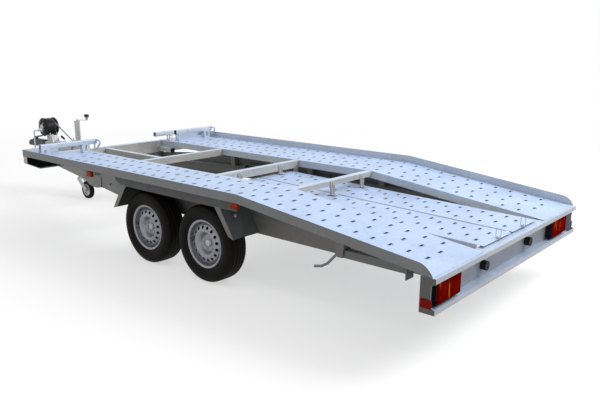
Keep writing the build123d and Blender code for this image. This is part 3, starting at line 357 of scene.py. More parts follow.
def guard_finish():
    """Mudguard sheet: dull zinc outside, near-black painted shade inside the wheel arch. A face
    is inside when it looks down, towards the middle between the axles, or outwards from behind the
    wheel."""
    material, tree, shader = new_finish("guard_zinc")
    place = object_place(tree)
    looks = facing(tree)
    behind_middle = arithmetic(tree, "SUBTRACT", AXLE_MID_Y, parts_of(tree, place)["Y"])
    to_middle = arithmetic(tree, "MULTIPLY", behind_middle, looks["Y"])
    down = arithmetic(tree, "MULTIPLY", looks["Z"], -1.0)
    deep = arithmetic(tree, "LESS_THAN", distance_aside(tree, place), GUARD_DISC_X)
    inside = arithmetic(tree, "MAXIMUM", ramp(tree, to_middle, 0.02, 0.10),
                        ramp(tree, down, 0.1, 0.3),
                        arithmetic(tree, "MULTIPLY", deep,
                                   arithmetic(tree, "ABSOLUTE", looks["X"], 0.0)))
    clouds = noise(tree, place, 12.0)
    share = ramp(tree, clouds, *CLOUD)
    # Near-black inside colour: painted shade in the wheel arch.
    arch_shade = blend_colours(tree, share, (0.010, 0.009, 0.008), (0.022, 0.020, 0.018))
    zinc = blend_colours(tree, share, (0.105, 0.104, 0.103), (0.140, 0.142, 0.145))
    settle(tree, shader, Base_Color=blend_colours(tree, inside, zinc, arch_shade),
           Roughness=ramp(tree, clouds, *CLOUD, 0.5, 0.64), Specular_IOR_Level=0.15)
    bump(tree, shader, noise(tree, place, 160.0, 3.0), 0.0004, 0.35)
    return material


def add_painted_glints(material, colour):
    """Painted upright glints in a lens: noise drawn out in height, and only its peaks are kept."""
    tree = material.node_tree
    shader = tree.nodes["Principled BSDF"]
    base = shader.inputs["Base Color"].links[0].from_socket
    streaks = noise(tree, object_place(tree, (30.0, 30.0, 5.0)), 1.0, 2.0)
    settle(tree, shader, Base_Color=blend_colours(tree, ramp(tree, streaks, 0.58, 0.74), base,
                                                  colour))


GUARD_ZINC = guard_finish()
# Orange painted glints in the red lenses.
add_painted_glints(RED_LENS, (0.80, 0.16, 0.03))

SLOT_FINISH = {
    "galvanised_frame": FRAME_ZINC,
    "galvanised_deck": DECK_ZINC,
    "galvanised_dull": DULL_SHADE_ZINC,
    "zinc_steel": BRIGHT_ZINC,
    "tyre": RUBBER,
    "black_rubber": SOFT_RUBBER,
    "black_plastic": BLACK_PLASTIC,
    "silver_rim": RIM_SILVER,
    "dark_steel": DARK_STEEL,
    "webbing": WEBBING,
    "red_lens": RED_LENS,
    "amber_lens": AMBER_LENS,
}
SLOT_OF = {finish.name: slot_name for slot_name, finish in SLOT_FINISH.items()}


def refinish(name, material):
    """Gives a piece of the frame one finish alone."""
    nodes[name].data.materials.clear()
    nodes[name].data.materials.append(material)


for row in frame["record"]["subparts"]:
    refinish(row["node"], SLOT_FINISH[row["material_slot"]])
for side, sx in SIDES:
    refinish(f"main_beam_{side}", BEAM_ZINC)
    refinish(f"mudguard_{side}", GUARD_ZINC)
refinish("rear_beam", REAR_ZINC)
print("finishes:", len(SLOT_FINISH))

# %% [markdown]
# ## Deck slots
# The runways and ramps have rows of punched slots whose edges are pressed up, so that tyres
# grip. Each slot gets a low rounded lip: a ring of points that climbs from the sheet to the
# edge and dips into the hole. The same small ring is copied to every place by adding arrays.

# %% Pressed lips round the slots
DECK_SLOPE = (DECK_TOP - DECK_REAR_TOP) / (BEND_Y - DECK_REAR_Y)
SLOT_HALF = (0.019, 0.008)
CORNER_POWER = 0.42


def deck_height(y):
    """Level ahead of the bend and a straight slope down behind it."""
    return DECK_TOP - DECK_SLOPE * np.maximum(0.0, BEND_Y - y)


def lip_ring(half_x, half_y, rings, steps=16):
    """Rings of a rounded rectangle (a superellipse), (x, y, height): from the sheet over the
    pressed edge, or from the edge down into the hole."""
    angle = np.arange(steps) * 2 * pi / steps + pi / steps
    x, y = (np.sign(wave) * np.abs(wave) ** CORNER_POWER for wave in (np.cos(angle), np.sin(angle)))
    return np.array([np.stack([x * (half_x + grow), y * (half_y + grow), np.full(steps, high)], -1)
                     for grow, high in rings])


LIP_RINGS = ((0.0050, 0.0002), (0.0030, 0.0014), (0.0008, 0.0024), (-0.0012, 0.0020))
COLLAR_RINGS = ((-0.0010, 0.0016), (-0.0014, -0.0030), (-0.0022, -0.0110))


def lips(name, places, height_at, rings):
    """The ring copied to each (x, y) place, and each point lifted to the sheet's height there."""
    ring = lip_ring(*SLOT_HALF, rings)
    count, steps = ring.shape[:2]
    cloud = ring[None] + np.array([(x, y, 0.0) for x, y in places])[:, None, None, :]
    cloud[..., 2] += height_at(cloud[..., 1])
    faces = grid_faces(count, steps, wrap_columns=True)
    shift = np.arange(len(places))[:, None, None] * count * steps
    return mesh_piece(name, cloud, (faces[None] + shift).reshape(-1, 4))


def slot_edges(kind, side, places, height_at):
    """The pressed lips of a sheet's slots in a darker blue zinc that paints their shading, and
    below them the collars of the holes, painted dark as the shade in the holes.
    """
    finish_piece(lips(f"{kind}_lips_{side}", places, height_at, LIP_RINGS), "chassis", LIP_SHADE_ZINC)
    finish_piece(lips(f"{kind}_collars_{side}", places, height_at, COLLAR_RINGS), "chassis",
                 SLOT_SHADE)


SLOT_PITCH, SLOT_ROWS = 0.123, 31
FIRST_ROW_Y = REAR_Y + 0.178
COLUMNS = ((0.705, 0.0), (0.848, 0.0), (0.560, SLOT_PITCH / 2), (0.990, SLOT_PITCH / 2))
for side, sx in SIDES:
    places = [(sx * x, FIRST_ROW_Y + row * SLOT_PITCH + shift)
              for row in range(SLOT_ROWS) for x, shift in COLUMNS]
    slot_edges("runway", side, places, deck_height)
print("runway lips:", 2 * len(places))

# %% [markdown]
# ## Plates, rods and turned pieces
# Most of the trailer is folded sheet, so a piece is an outline carried straight along one axis.
# Round bars are a circle carried along a path, and bolts, knobs and wheels are a profile turned
# round an axis. Each helper returns points, faces and end caps, so that small pieces can be
# joined into one mesh before it is made.

# %% Prisms, rods and turned forms


def between(first, second):
    """Two equal rings of points with a wall from one to the other, closed at both ends."""
    count = len(first)
    return (np.concatenate([first, second]), grid_faces(2, count, wrap_columns=True),
            (range(count), range(count, 2 * count)))


def prism(outline, axis, start, end):
    """Two copies of a flat outline, at the start and the end of a straight way along the axis."""
    k = "xyz".index(axis)
    return between(*(np.insert(np.asarray(outline, float), k, way, axis=1) for way in (start, end)))


def framed(outer, inner, axis, start, end):
    """A plate with one hole: four rings, outer and inner at both faces, joined in a circle."""
    k = "xyz".index(axis)
    rings = np.insert(np.array([outer, inner, inner, outer], float), k, 0.0, axis=2)
    rings[:2, :, k], rings[2:, :, k] = start, end
    return rings.reshape(-1, 3), grid_faces(4, len(outer), wrap_rows=True, wrap_columns=True), ()


def rounded(centre, width, height, radius, corner=4):
    """Rectangle with round corners: each corner is its centre plus radius*(cos, sin)."""
    turn = np.linspace(0, pi / 2, corner)
    signs = np.array([(1, 1), (-1, 1), (-1, -1), (1, -1)])
    mid = signs * (np.array([width, height]) / 2 - radius)
    angle = turn[None] + np.arange(4)[:, None] * pi / 2
    arc = radius * np.stack([np.cos(angle), np.sin(angle)], -1)
    return (mid[:, None] + arc).reshape(-1, 2) + np.asarray(centre)


def hollow(centre, outer, inner, axis, start, end):
    """A tube or window frame: outside and hole are (width, height, corner radius)."""
    return framed(rounded(centre, *outer), rounded(centre, *inner), axis, start, end)


def rod(path, radius, steps=10):
    """Circle carried along a path; its plane halves the angle between two runs."""
    path = np.asarray(path, float)
    runs = np.diff(path, axis=0)
    runs /= np.linalg.norm(runs, axis=1)[:, None]
    ahead = np.vstack([runs[:1], runs[:-1] + runs[1:], runs[-1:]])
    ahead /= np.linalg.norm(ahead, axis=1)[:, None]
    spare = np.cross(runs[0], runs[-1]) if len(path) > 2 else np.zeros(3)
    if np.linalg.norm(spare) < 1e-3:
        spare = np.cross(runs[0], (1.0, 0.2, 0.1) if abs(runs[0][0]) < 0.8 else (0.1, 0.2, 1.0))
    side = spare / np.linalg.norm(spare)
    other = np.cross(ahead, side)
    angle = np.arange(steps) * 2 * pi / steps
    ring = np.cos(angle)[None, :, None] * side + np.sin(angle)[None, :, None] * other[:, None, :]
    points = path[:, None, :] + radius * ring
    last = (len(path) - 1) * steps
    return points.reshape(-1, 3), grid_faces(len(path), steps, wrap_columns=True), (
        range(steps), range(last, last + steps))


def turned(profile, centre, direction, steps=20):
    """Profile (along, radius) turned round a line: centre + along*d + radius*(cos*u + sin*v)."""
    d = np.asarray(direction, float) / np.linalg.norm(direction)
    u = np.cross(d, (0.0, 0.0, 1.0) if abs(d[2]) < 0.9 else (1.0, 0.0, 0.0))
    u /= np.linalg.norm(u)
    v = np.cross(d, u)
    along, radius = np.asarray(profile, float).T
    angle = (np.arange(steps) + 0.5)[:, None] * 2 * pi / steps
    ring = np.cos(angle) * u + np.sin(angle) * v
    points = np.asarray(centre) + along[None, :, None] * d + radius[None, :, None] * ring[:, None]
    return points.reshape(-1, 3), grid_faces(steps, along.size, wrap_rows=True), ()


def joined(name, parts, smooth=True):
    """Several small forms as one mesh: their points one after another, faces counted on."""
    cloud, squares, ends, start = [], [], [], 0
    for points, faces, caps in parts:
        cloud.append(points)
        squares.append(np.asarray(faces) + start)
        ends += [[corner + start for corner in cap] for cap in caps]
        start += len(points)
    return mesh_piece(name, np.concatenate(cloud), np.concatenate(squares), smooth, ends)


def add_piece(name, parts, material, slot_name=None, replaced=(), smooth=True, body="chassis"):
    """Joins small forms into one piece of a body, with its finish. The slot_name argument, or the
    slot that has this finish, is worked out but not used."""
    slot_name = slot_name or SLOT_OF[material.name]
    return finish_piece(joined(name, parts, smooth), body, material, replaced)


BOLT = ((0.0, 0.0), (0.0, 1.0), (0.12, 1.0), (0.16, 0.62), (0.62, 0.62), (0.74, 0.5), (0.74, 0.0))


def bolt_heads(places, direction, radius, steps=12):
    """The bolt profile, washer and head, scaled to the washer's radius at each place."""
    return [turned(np.array(BOLT) * radius, place, direction, steps) for place in places]


print("helpers ready")

# %% [markdown]
# ## Webs of the main beams
# A thin upright web fills the space between each main beam and the deck; its dark zinc is painted
# shade under the deck. It rises with the sloping deck, is full height over the wheels, and falls
# again along the drawbar leg. A bright gusset and a splice plate with a sunk middle lie on the
# leg's outer face.

# %% Webs, gussets and splice plates
MAIN_X = 0.730
LEG_BEND_Y, LEG_NOSE = 0.025, (0.136, 2.610)
WEB_LOW, WEB_TOP, WEB_REAR_Y = 0.505, 0.630, -2.127


def leg_x(y):
    """The main beam is straight up to the bend, then leans in evenly to the nose."""
    share = (np.asarray(y, float) - LEG_BEND_Y) / (LEG_NOSE[1] - LEG_BEND_Y)
    return MAIN_X - (MAIN_X - LEG_NOSE[0]) * np.clip(share, 0.0, 1.0)


def leg_plate(outline, sx, near, far):
    """Outline (y, z) laid on the beam's outer face, between two distances outside it."""
    y, z = np.asarray(outline, float).T
    return between(*(np.stack([sx * (leg_x(y) + out), y, z], -1) for out in (near, far)))


REAR_WEB = ((-3.030, WEB_LOW), (-3.030, 0.524), (WEB_REAR_Y, WEB_TOP), (WEB_REAR_Y, WEB_LOW))
OVER_WHEELS = ((WEB_REAR_Y, WEB_LOW), (WEB_REAR_Y, WEB_TOP), (LEG_BEND_Y, WEB_TOP),
               (LEG_BEND_Y, WEB_LOW))
LEG_WEB = ((LEG_BEND_Y, 0.470), (LEG_BEND_Y, WEB_TOP), (SECOND_Y, WEB_TOP), (1.120, 0.564),
           (2.560, 0.500), (2.560, 0.480))
GUSSET = ((0.130, 0.405), (0.130, 0.620), (SECOND_Y, 0.625), (0.573, 0.550), (0.744, 0.506),
          (0.921, 0.466), (0.921, 0.405))
SPLICE = ((0.670, 0.392), (0.820, 0.364), (1.000, 0.364), (1.100, 0.394), (1.100, 0.494),
          (0.670, 0.494))
for side, sx in SIDES:
    webs = [leg_plate(form, sx, 0.0002, 0.0032) for form in (REAR_WEB, OVER_WHEELS, LEG_WEB)]
    # The webs take the dark zinc as painted shade under the deck.
    add_piece(f"beam_web_{side}", webs, DULL_SHADE_ZINC, smooth=False)
    add_piece(f"leg_gusset_{side}", [leg_plate(GUSSET, sx, 0.0034, 0.0074)], LIP_ZINC,
              "galvanised_frame", smooth=False)
    add_piece(f"leg_splice_{side}", [leg_plate(SPLICE, sx, 0.0075, 0.0125)], LIP_ZINC,
              "galvanised_frame", smooth=False)
print("webs and plates on both legs")

# %% [markdown]
# ## Front crossbeam and the runways' front lips
# The deep front beam is a folded channel that opens to the rear. Beyond the drawbar it has no
# rear web, so one looks into its dark inside, whose shade thin black plates paint, and its lower
# edge rakes up to the corner. The runways' flange goes on round the corner as a lip. The beam is
# made again from folded plates.

# %% Front crossbeam
BEAM_TOP_Z, BEAM_LOW_Z, BEAM_SIDE_Z = 0.692, 0.564, 0.626
UNDER_TOP_Z = BEAM_TOP_Z - SHEET
WEB_END_X, BEAM_END_X = 0.750, HALF_W - 0.004
RAKE_X = HALF_W - 0.130
RAKE = ((-BEAM_END_X, BEAM_TOP_Z), (-BEAM_END_X, BEAM_SIDE_Z), (-RAKE_X, BEAM_LOW_Z),
        (RAKE_X, BEAM_LOW_Z), (BEAM_END_X, BEAM_SIDE_Z), (BEAM_END_X, BEAM_TOP_Z))
front_y, rear_y = DECK_FRONT_Y, DECK_FRONT_Y - 0.060
inside_y = front_y - SHEET


def box_outline(x_low, x_high, z_low, z_high):
    """The four corners of a rectangle, one after another."""
    return ((x_low, z_low), (x_high, z_low), (x_high, z_high), (x_low, z_high))


low = np.array(RAKE[1:5])
inner_low = low + np.array([(SHEET, 0.002), (0.001, SHEET), (-0.001, SHEET), (-SHEET, 0.002)])
plates = [
    prism(RAKE, "y", inside_y, front_y),
    prism(box_outline(-BEAM_END_X, BEAM_END_X, UNDER_TOP_Z, BEAM_TOP_Z), "y", rear_y, inside_y),
    prism(box_outline(-WEB_END_X, WEB_END_X, BEAM_LOW_Z, UNDER_TOP_Z), "y", rear_y,
          rear_y + SHEET),
    prism(np.concatenate([low, inner_low[::-1]]), "y", rear_y, inside_y),
]
for side, sx in SIDES:
    ends = sorted((sx * BEAM_END_X, sx * (BEAM_END_X - SHEET)))
    end_plate = box_outline(rear_y, inside_y, BEAM_SIDE_Z + 0.002, UNDER_TOP_Z)
    plates.append(prism(end_plate, "x", *ends))
add_piece("front_beam_folded", plates, FRAME_ZINC, replaced=["front_crossbeam"], smooth=False)
# Thin black plates inside the front web beyond the drawbar: painted shade.
SHADE = np.array(((WEB_END_X + 0.001, 0.687), (WEB_END_X + 0.001, 0.5685), (0.943, 0.5685),
                  (1.066, 0.629), (1.066, 0.687)))
shades = [prism(SHADE * (sx, 1), "y", inside_y - 0.002, inside_y - 0.0003) for sx in (-1, 1)]
add_piece("front_beam_inside", shades, BEAM_INSIDE_SHADE, "galvanised_dull", smooth=False)

FRONT_LIP = ((1.1768, 0.6952), (1.1798, 0.6952), (1.1798, 0.7515), (1.1783, 0.7530),
             (1.1768, 0.7515))
for side, sx in SIDES:
    add_piece(f"front_lip_{side}", [prism(FRONT_LIP, "x", *sorted((sx * 0.720, sx * 1.0708)))],
              DECK_ZINC, smooth=False)

TUBE_CENTRE, TUBE_REAR_Y = (0.4525, 0.605), 0.912
tube = hollow(TUBE_CENTRE, (0.045, 0.045, 0.005), (0.039, 0.039, 0.003), "y", TUBE_REAR_Y, rear_y)
add_piece("side_tube", [tube], FRAME_ZINC)
cap = prism(rounded(TUBE_CENTRE, 0.047, 0.047, 0.006), "y", TUBE_REAR_Y - 0.007,
            TUBE_REAR_Y + 0.0005)
add_piece("side_tube_cap", [cap], BLACK_PLASTIC)
print("front beam from", len(plates), "plates")

# %% [markdown]
# ## Wheel stops
# Two square bars lie across the runways' front ends and stop the car's tyres. Each stands on
# folded feet with long slots and ends in a pointed loop for a lashing hook. The bar's
# section has round corners, and the loop is a plate with one hole.

# %% Wheel stops
STOP_Y, BAR_Z = 0.960, 0.790
BAR_LOW, BAR_TOP = 0.768, 0.812
LOOP_HALF = 0.006


def stop_foot(x, width):
    """Folded foot: an upright plate with a long slot on either side of a flat base."""
    middle = x + width / 2
    high = BAR_LOW - DECK_TOP + 0.012
    plates = [hollow((middle, DECK_TOP + high / 2), (width, high, 0.006),
                     (width * 0.42, high * 0.62, 0.012), "y", y, y + SHEET)
              for y in (STOP_Y - 0.026, STOP_Y + 0.022)]
    base = prism(rounded((middle, STOP_Y), width, 0.076, 0.004), "z", DECK_TOP + 0.0003,
                 DECK_TOP + 0.0043)
    return plates + [base] + bolt_heads([(middle, STOP_Y, DECK_TOP + 0.004)], UPWARDS, 0.013)


LOOP_OUTER = ((0.022, BAR_TOP), (-0.030, BAR_TOP), (-0.080, BAR_TOP - 0.008), (-0.084, 0.772),
              (-0.018, 0.704), (0.022, 0.704))
LOOP_INNER = ((0.010, BAR_TOP - 0.012), (-0.030, BAR_TOP - 0.012), (-0.068, BAR_TOP - 0.018),
              (-0.072, 0.776), (-0.012, 0.716), (0.010, 0.716))
WIDE_FOOT, NARROW_FOOT = 0.076, 0.040
STOPS = (("left", (-1.017, -0.440), ((-1.018, WIDE_FOOT), (-0.600, WIDE_FOOT)), -0.446),
         ("right", (0.262, 1.046), ((0.440, NARROW_FOOT), (0.560, NARROW_FOOT),
                                    (0.930, WIDE_FOOT)), 1.040))
for side, ends, feet, loop_x in STOPS:
    parts = [hollow((STOP_Y, BAR_Z), (0.044, 0.044, 0.006), (0.037, 0.037, 0.004), "x", *ends)]
    for foot in feet:
        parts += stop_foot(*foot)
    outer, inner = (np.array(form) + (STOP_Y, 0.0) for form in (LOOP_OUTER, LOOP_INNER))
    parts.append(framed(outer, inner, "x", loop_x - LOOP_HALF, loop_x + LOOP_HALF))
    add_piece(f"stop_bar_{side}", parts, DECK_ZINC, replaced=[f"wheel_stop_{side}"])
add_piece("stop_bar_plug", [prism(rounded((0.519, BAR_Z), 0.022, 0.046, 0.004), "y",
                                  STOP_Y - 0.030, STOP_Y - 0.0225)], BLACK_PLASTIC)
print("wheel stops done")

# %% [markdown]
# ## Loading ramps
# Each ramp is a folded sheet with staggered slots, and its rear end runs on as a tongue over the
# rear beam. A sheet with many holes is a grid whose lines pass along the slots' edges: the
# squares that lie inside a slot are left out. Two walls hang from its long edges.

# %% Ramps with their slots
RAMP_REAR_Y, RAMP_FRONT_Y = REAR_Y + 0.054, REAR_Y + 2.290
RAMP_REAR_Z, RAMP_FRONT_Z = 0.5405, 0.602
RAMP_WALL_Y = REAR_Y + 0.098
RAMP_WIDTH, RAMP_SHEET, RAMP_FOLD = 0.400, 0.003, 0.045
RAMP_PITCH, RAMP_ROWS = 0.176, 12
EVEN_X, ODD_X = (0.088, 0.276), (0.146, 0.326)


def ramp_height(y):
    """Straight rise from the rear end to the front end."""
    share = (y - RAMP_WALL_Y) / (RAMP_FRONT_Y - RAMP_WALL_Y)
    return RAMP_REAR_Z + (RAMP_FRONT_Z - RAMP_REAR_Z) * share


def slotted_sheet(x_low, x_high, y_low, y_high, slots, height_at):
    """Grid lines at the sheet's and the slots' edges, and squares in a slot left out. The
    Solidify step that follows gives the sheet its thickness."""
    slots = np.asarray(slots)
    lines, inside = [], []
    for k, ends in ((0, (x_low, x_high)), (1, (y_low, y_high))):
        edges = np.concatenate([ends, slots[:, k] - SLOT_HALF[k], slots[:, k] + SLOT_HALF[k]])
        lines.append(np.unique(np.round(edges, 5)))
        middle = (lines[k][1:] + lines[k][:-1]) / 2
        inside.append(np.abs(middle[:, None] - slots[None, :, k]) < SLOT_HALF[k])
    x, y = np.meshgrid(*lines)
    in_slot = (inside[0][None] & inside[1][:, None]).any(-1)
    faces = grid_faces(*x.shape)[~in_slot.reshape(-1)]
    return np.stack([x, y, height_at(y)], -1), faces


def ramp_slots(x_start):
    """Rows of two slots; every second row is shifted across, and lies half a pitch ahead."""
    first = REAR_Y + 0.145
    return [(x_start + x, first + (row + ahead) * RAMP_PITCH)
            for ahead, columns in ((0.0, EVEN_X), (0.5, ODD_X))
            for row in range(RAMP_ROWS) for x in columns]


for side, x_start in (("left", -0.410), ("right", 0.010)):
    slots = ramp_slots(x_start)
    x_end = x_start + RAMP_WIDTH
    points, faces = slotted_sheet(x_start + RAMP_SHEET, x_end - RAMP_SHEET, RAMP_REAR_Y,
                                  RAMP_FRONT_Y, slots, ramp_height)
    sheet = mesh_piece(f"ramp_sheet_{side}", points, faces, False)
    thick = sheet.modifiers.new("thickness", "SOLIDIFY")
    thick.thickness, thick.offset = RAMP_SHEET, -1.0
    finish_piece(sheet, "chassis", DECK_ZINC, [f"ramp_{side}"])
    wall = [(RAMP_WALL_Y, RAMP_REAR_Z), (RAMP_FRONT_Y, RAMP_FRONT_Z),
            (RAMP_FRONT_Y, RAMP_FRONT_Z - RAMP_FOLD), (RAMP_WALL_Y, RAMP_REAR_Z - RAMP_FOLD)]
    walls = [prism(wall, "x", x, x + RAMP_SHEET) for x in (x_start, x_end - RAMP_SHEET)]
    add_piece(f"ramp_walls_{side}", walls, DECK_ZINC, smooth=False)
    slot_edges("ramp", side, slots, ramp_height)
print("ramp slots:", 2 * len(slots))

# %% [markdown]
# ## Tyres
# A trailer tyre has straight grooves round its tread, cross cuts on the shoulders and fine
# rings on the sidewall. The section is a closed profile of (across, radius) points, turned
# round the axle, and the tread is pressed in by a height worked out from angle and place.

# %% Tyres with tread
WHEELS = tuple((f"{end}_{side}", sx, np.array((sx * WHEEL_X, AXLE_MID_Y + k * AXLE_OFFSET, TYRE_R)))
               for end, k in (("front", 1), ("rear", -1)) for side, sx in SIDES)
SECTION = ((-0.0674, 0.168), (-0.072, 0.184), (-0.0800, 0.196), (-0.0880, 0.214), (-0.0915, 0.234),
           (-0.0895, 0.254), (-0.0835, 0.270), (-0.0760, 0.2805), (-0.0650, 0.2865),
           (-0.050, 0.2885), (-0.025, TYRE_R), (0.0, TYRE_R))


def smooth_section(points, count):
    """Points spaced evenly along the section's runs, so that rings and grooves stay sharp."""
    points = np.asarray(points, float)
    way = np.concatenate([[0.0], np.cumsum(np.linalg.norm(np.diff(points, axis=0), axis=1))])
    step = np.linspace(0.0, way[-1], count)
    return np.stack([np.interp(step, way, points[:, 0]), np.interp(step, way, points[:, 1])], -1)


half = smooth_section(SECTION, 44)
section = np.concatenate([half, half[-2::-1] * (-1, 1)])
GROOVES = (-0.046, -0.016, 0.016, 0.046)
TURN_STEPS, SHOULDER_CUTS, RING_PITCH = 288, 72, 0.0105


def tread_depth(across, radius, angle):
    """Depth below the section: round grooves at four places across, slanted cuts that repeat
    round the shoulders, and fine rings on the sidewall."""
    on_tread = np.clip((radius - 0.276) / 0.006, 0.0, 1.0)
    groove = sum(np.exp(-((across - place) / 0.0032) ** 4) for place in GROOVES)
    cut = np.clip(np.cos(SHOULDER_CUTS * angle + 260 * np.abs(across)) * 5.0 - 3.6, 0.0, 1.0)
    shoulder = cut * np.clip((np.abs(across) - 0.050) / 0.008, 0.0, 1.0)
    on_sidewall = (radius < 0.262) * (radius > 0.196)
    rings = 0.0009 * (np.cos(radius * 2 * pi / RING_PITCH) > 0.75) * on_sidewall
    return on_tread * np.clip(0.0062 * groove + 0.0048 * shoulder, 0.0, 0.0065) + rings


angle = np.arange(TURN_STEPS)[:, None] * 2 * pi / TURN_STEPS
across, radius = section[None, :, 0], section[None, :, 1]
shown_r = radius - tread_depth(across, radius, angle)
tyre_points = np.stack([np.broadcast_to(across, shown_r.shape), shown_r * np.cos(angle),
                        shown_r * np.sin(angle)], -1)
tyre_faces = grid_faces(TURN_STEPS, len(section), wrap_rows=True, wrap_columns=True)
for name, sx, centre in WHEELS:
    tyre = mesh_piece(f"tread_{name}", tyre_points + centre, tyre_faces)
    finish_piece(tyre, f"wheel_{name}", RUBBER, [f"tyre_{name}"])
print("tyre faces:", len(tyre_faces))

# %% [markdown]
# ## Rims
# A pressed steel rim: rolled edge, barrel, a sloping ring with sixteen round vents, and a dished
# middle with a raised hub and five bolts. Middle and edge are turned. The ring between them has
# real holes, and behind each one a cup painted black as the shade in the hole hides the brake.

# %% Rims, vents, bolts and hub caps
RIM_MIDDLE = ((0.010, 0.110), (0.012, 0.060), (0.022, 0.058), (0.022, 0.0), (0.027, 0.0),
              (0.027, 0.062), (0.030, 0.066), (0.037, 0.069), (0.056, 0.079), (0.064, 0.086),
              (0.069, 0.094), (0.070, 0.099), (0.0685, 0.105), (0.066, 0.110))
RIM_SECTION = ((0.054, 0.137), (0.050, 0.142),
               (0.044, 0.146), (0.030, 0.150), (0.034, 0.156), (0.040, 0.161), (0.058, 0.163),
               (0.070, 0.165), (0.074, 0.172), (0.0755, 0.180), (0.073, 0.182), (0.071, 0.180),
               (0.068, 0.168), (0.040, 0.166), (0.024, 0.155), (-0.026, 0.155), (-0.042, 0.166),
               (-0.068, 0.168), (-0.074, 0.181), (-0.071, 0.164), (-0.044, 0.162), (-0.030, 0.148),
               (0.008, 0.147))
VENTS, VENT_RING, VENT_R = 16, 0.1235, 0.0122
RING_LOW, RING_HIGH = (0.110, 0.066), (0.137, 0.054)
RING_FALL = (RING_LOW[1] - RING_HIGH[1]) / (RING_HIGH[0] - RING_LOW[0])
VENT_SLOPE = atan(RING_FALL)
VENT_X = RING_LOW[1] - (VENT_RING - RING_LOW[0]) * RING_FALL
VENT_TURNS = (np.arange(VENTS) + 0.5) * 2 * pi / VENTS
VENT_ROLL = ((0.96, -0.0012), (0.98, 0.0008), (1.03, 0.0010), (1.09, 0.0))
CUP = ((-0.014, 0.0), (-0.014, 0.86), (-0.001, 0.97), (0.0006, 1.005))


def vented_ring(steps=32):
    """The sloping ring with its round vents. Each vent's field is a grid from the vent's circle
    out to the field's edge: (u, v) = (cos, sin) / max(|cos|, |sin|) is a square, u runs from the
    ring's inner to its outer radius and v over the vent's share of the turn."""
    phi = np.arange(steps) * 2 * pi / steps
    c, s = np.cos(phi), np.sin(phi)
    rows = []
    for reach, lift in VENT_ROLL:
        a, b = VENT_RING + reach * VENT_R * c, reach * VENT_R * s
        rows.append((np.hypot(a, b), np.arctan2(b, a), np.full(steps, lift)))
    square = 1.0 / np.maximum(np.abs(c), np.abs(s))
    middle, reach = (RING_LOW[0] + RING_HIGH[0]) / 2, (RING_HIGH[0] - RING_LOW[0]) / 2
    rows.append((middle + reach * c * square, s * square * pi / VENTS, np.zeros(steps)))
    r, theta, lift = (np.array(part)[None] for part in zip(*rows))
    theta = theta + VENT_TURNS[:, None, None]
    x = np.interp(r, (RING_LOW[0], RING_HIGH[0]), (RING_LOW[1], RING_HIGH[1])) + lift
    points = np.stack([np.broadcast_to(x, theta.shape), r * np.cos(theta), r * np.sin(theta)], -1)
    faces = grid_faces(len(rows), steps, wrap_columns=True)
    shift = np.arange(VENTS)[:, None, None] * len(rows) * steps
    return points.reshape(-1, 3), (faces[None] + shift).reshape(-1, 4)


HUB_CAP = ((0.027, 0.0300), (0.034, 0.0300), (0.0365, 0.0270), (0.0420, 0.0255), (0.0440, 0.0215),
           (0.0445, 0.0))
BOLT_TURNS, BOLT_RING = (np.arange(5) + 0.25) * 2 * pi / 5, 0.050
VALVE = ((0.034, 0.152, 0.0), (0.062, 0.140, 0.0))
ring_points, ring_faces = vented_ring()
for name, sx, centre in WHEELS:
    body, outwards = f"wheel_{name}", (sx, 0, 0)
    disc = [turned(form, centre, outwards, 96) for form in (RIM_SECTION, RIM_MIDDLE)]
    disc.append((ring_points * (sx, 1, 1) + centre, ring_faces, ()))
    add_piece(f"rim_disc_{name}", disc, RIM_SILVER, replaced=[f"rim_{name}"], body=body)
    cups = []
    for turn in VENT_TURNS:
        out = np.array((0.0, cos(turn), sin(turn)))
        place = centre + out * VENT_RING + (sx * VENT_X, 0.0, 0.0)
        way = (sx * cos(VENT_SLOPE), 0.0, 0.0) + out * sin(VENT_SLOPE)
        cups.append(turned(np.array(CUP) * (1.0, VENT_R), place, way, 16))
    # The vent cups are painted black as the shade inside the vents.
    add_piece(f"vent_holes_{name}", cups, VENT_SHADE, "black_plastic", body=body)
    places = [centre + (sx * 0.027, BOLT_RING * cos(t), BOLT_RING * sin(t)) for t in BOLT_TURNS]
    add_piece(f"wheel_bolts_{name}", bolt_heads(places, outwards, 0.0105), BRIGHT_ZINC, body=body)
    add_piece(f"hub_cap_{name}", [turned(HUB_CAP, centre, outwards, 32)], BRIGHT_ZINC, body=body)
    valve_way = np.array(VALVE) * (sx, 1, 1) + centre
    add_piece(f"valve_{name}", [rod(valve_way, 0.0045)], SOFT_RUBBER, body=body)
print("vents:", VENTS, "to a rim")

# %% [markdown]
# ## Mudguards
# The end flaps are folded sheet, with a lip that faces outwards along their edge, and they are
# held to brackets under the deck by bolts.

# %% Mudguard lips and bolts
GUARD_X = 0.993
FLAP_LIP = ((0.707, 0.401), (0.655, 0.417), (0.520, 0.607), (0.574, 0.611))
for side, sx in SIDES:
    faces_x = sorted((sx * (GUARD_X + 0.0002), sx * (GUARD_X + 0.0024)))
    strips = [prism(np.array(FLAP_LIP) * (k, 1) + (AXLE_MID_Y, 0), "x", *faces_x) for k in (-1, 1)]
    add_piece(f"guard_lips_{side}", strips, LIP_ZINC, "galvanised_dull", smooth=False)
    flap_bolt = bolt_heads([(sx * 0.900, AXLE_MID_Y - 0.628, 0.545)], (0, -1, 0.35), 0.0145, 20)
    add_piece(f"guard_bolt_{side}", flap_bolt, BRIGHT_ZINC)
    leg_plug = bolt_heads([(sx * 0.720, 0.312, 0.492)], (sx, 0.23, 0), 0.012, 20)
    add_piece(f"leg_plug_{side}", leg_plug, BLACK_PLASTIC)
print("mudguard lips done")

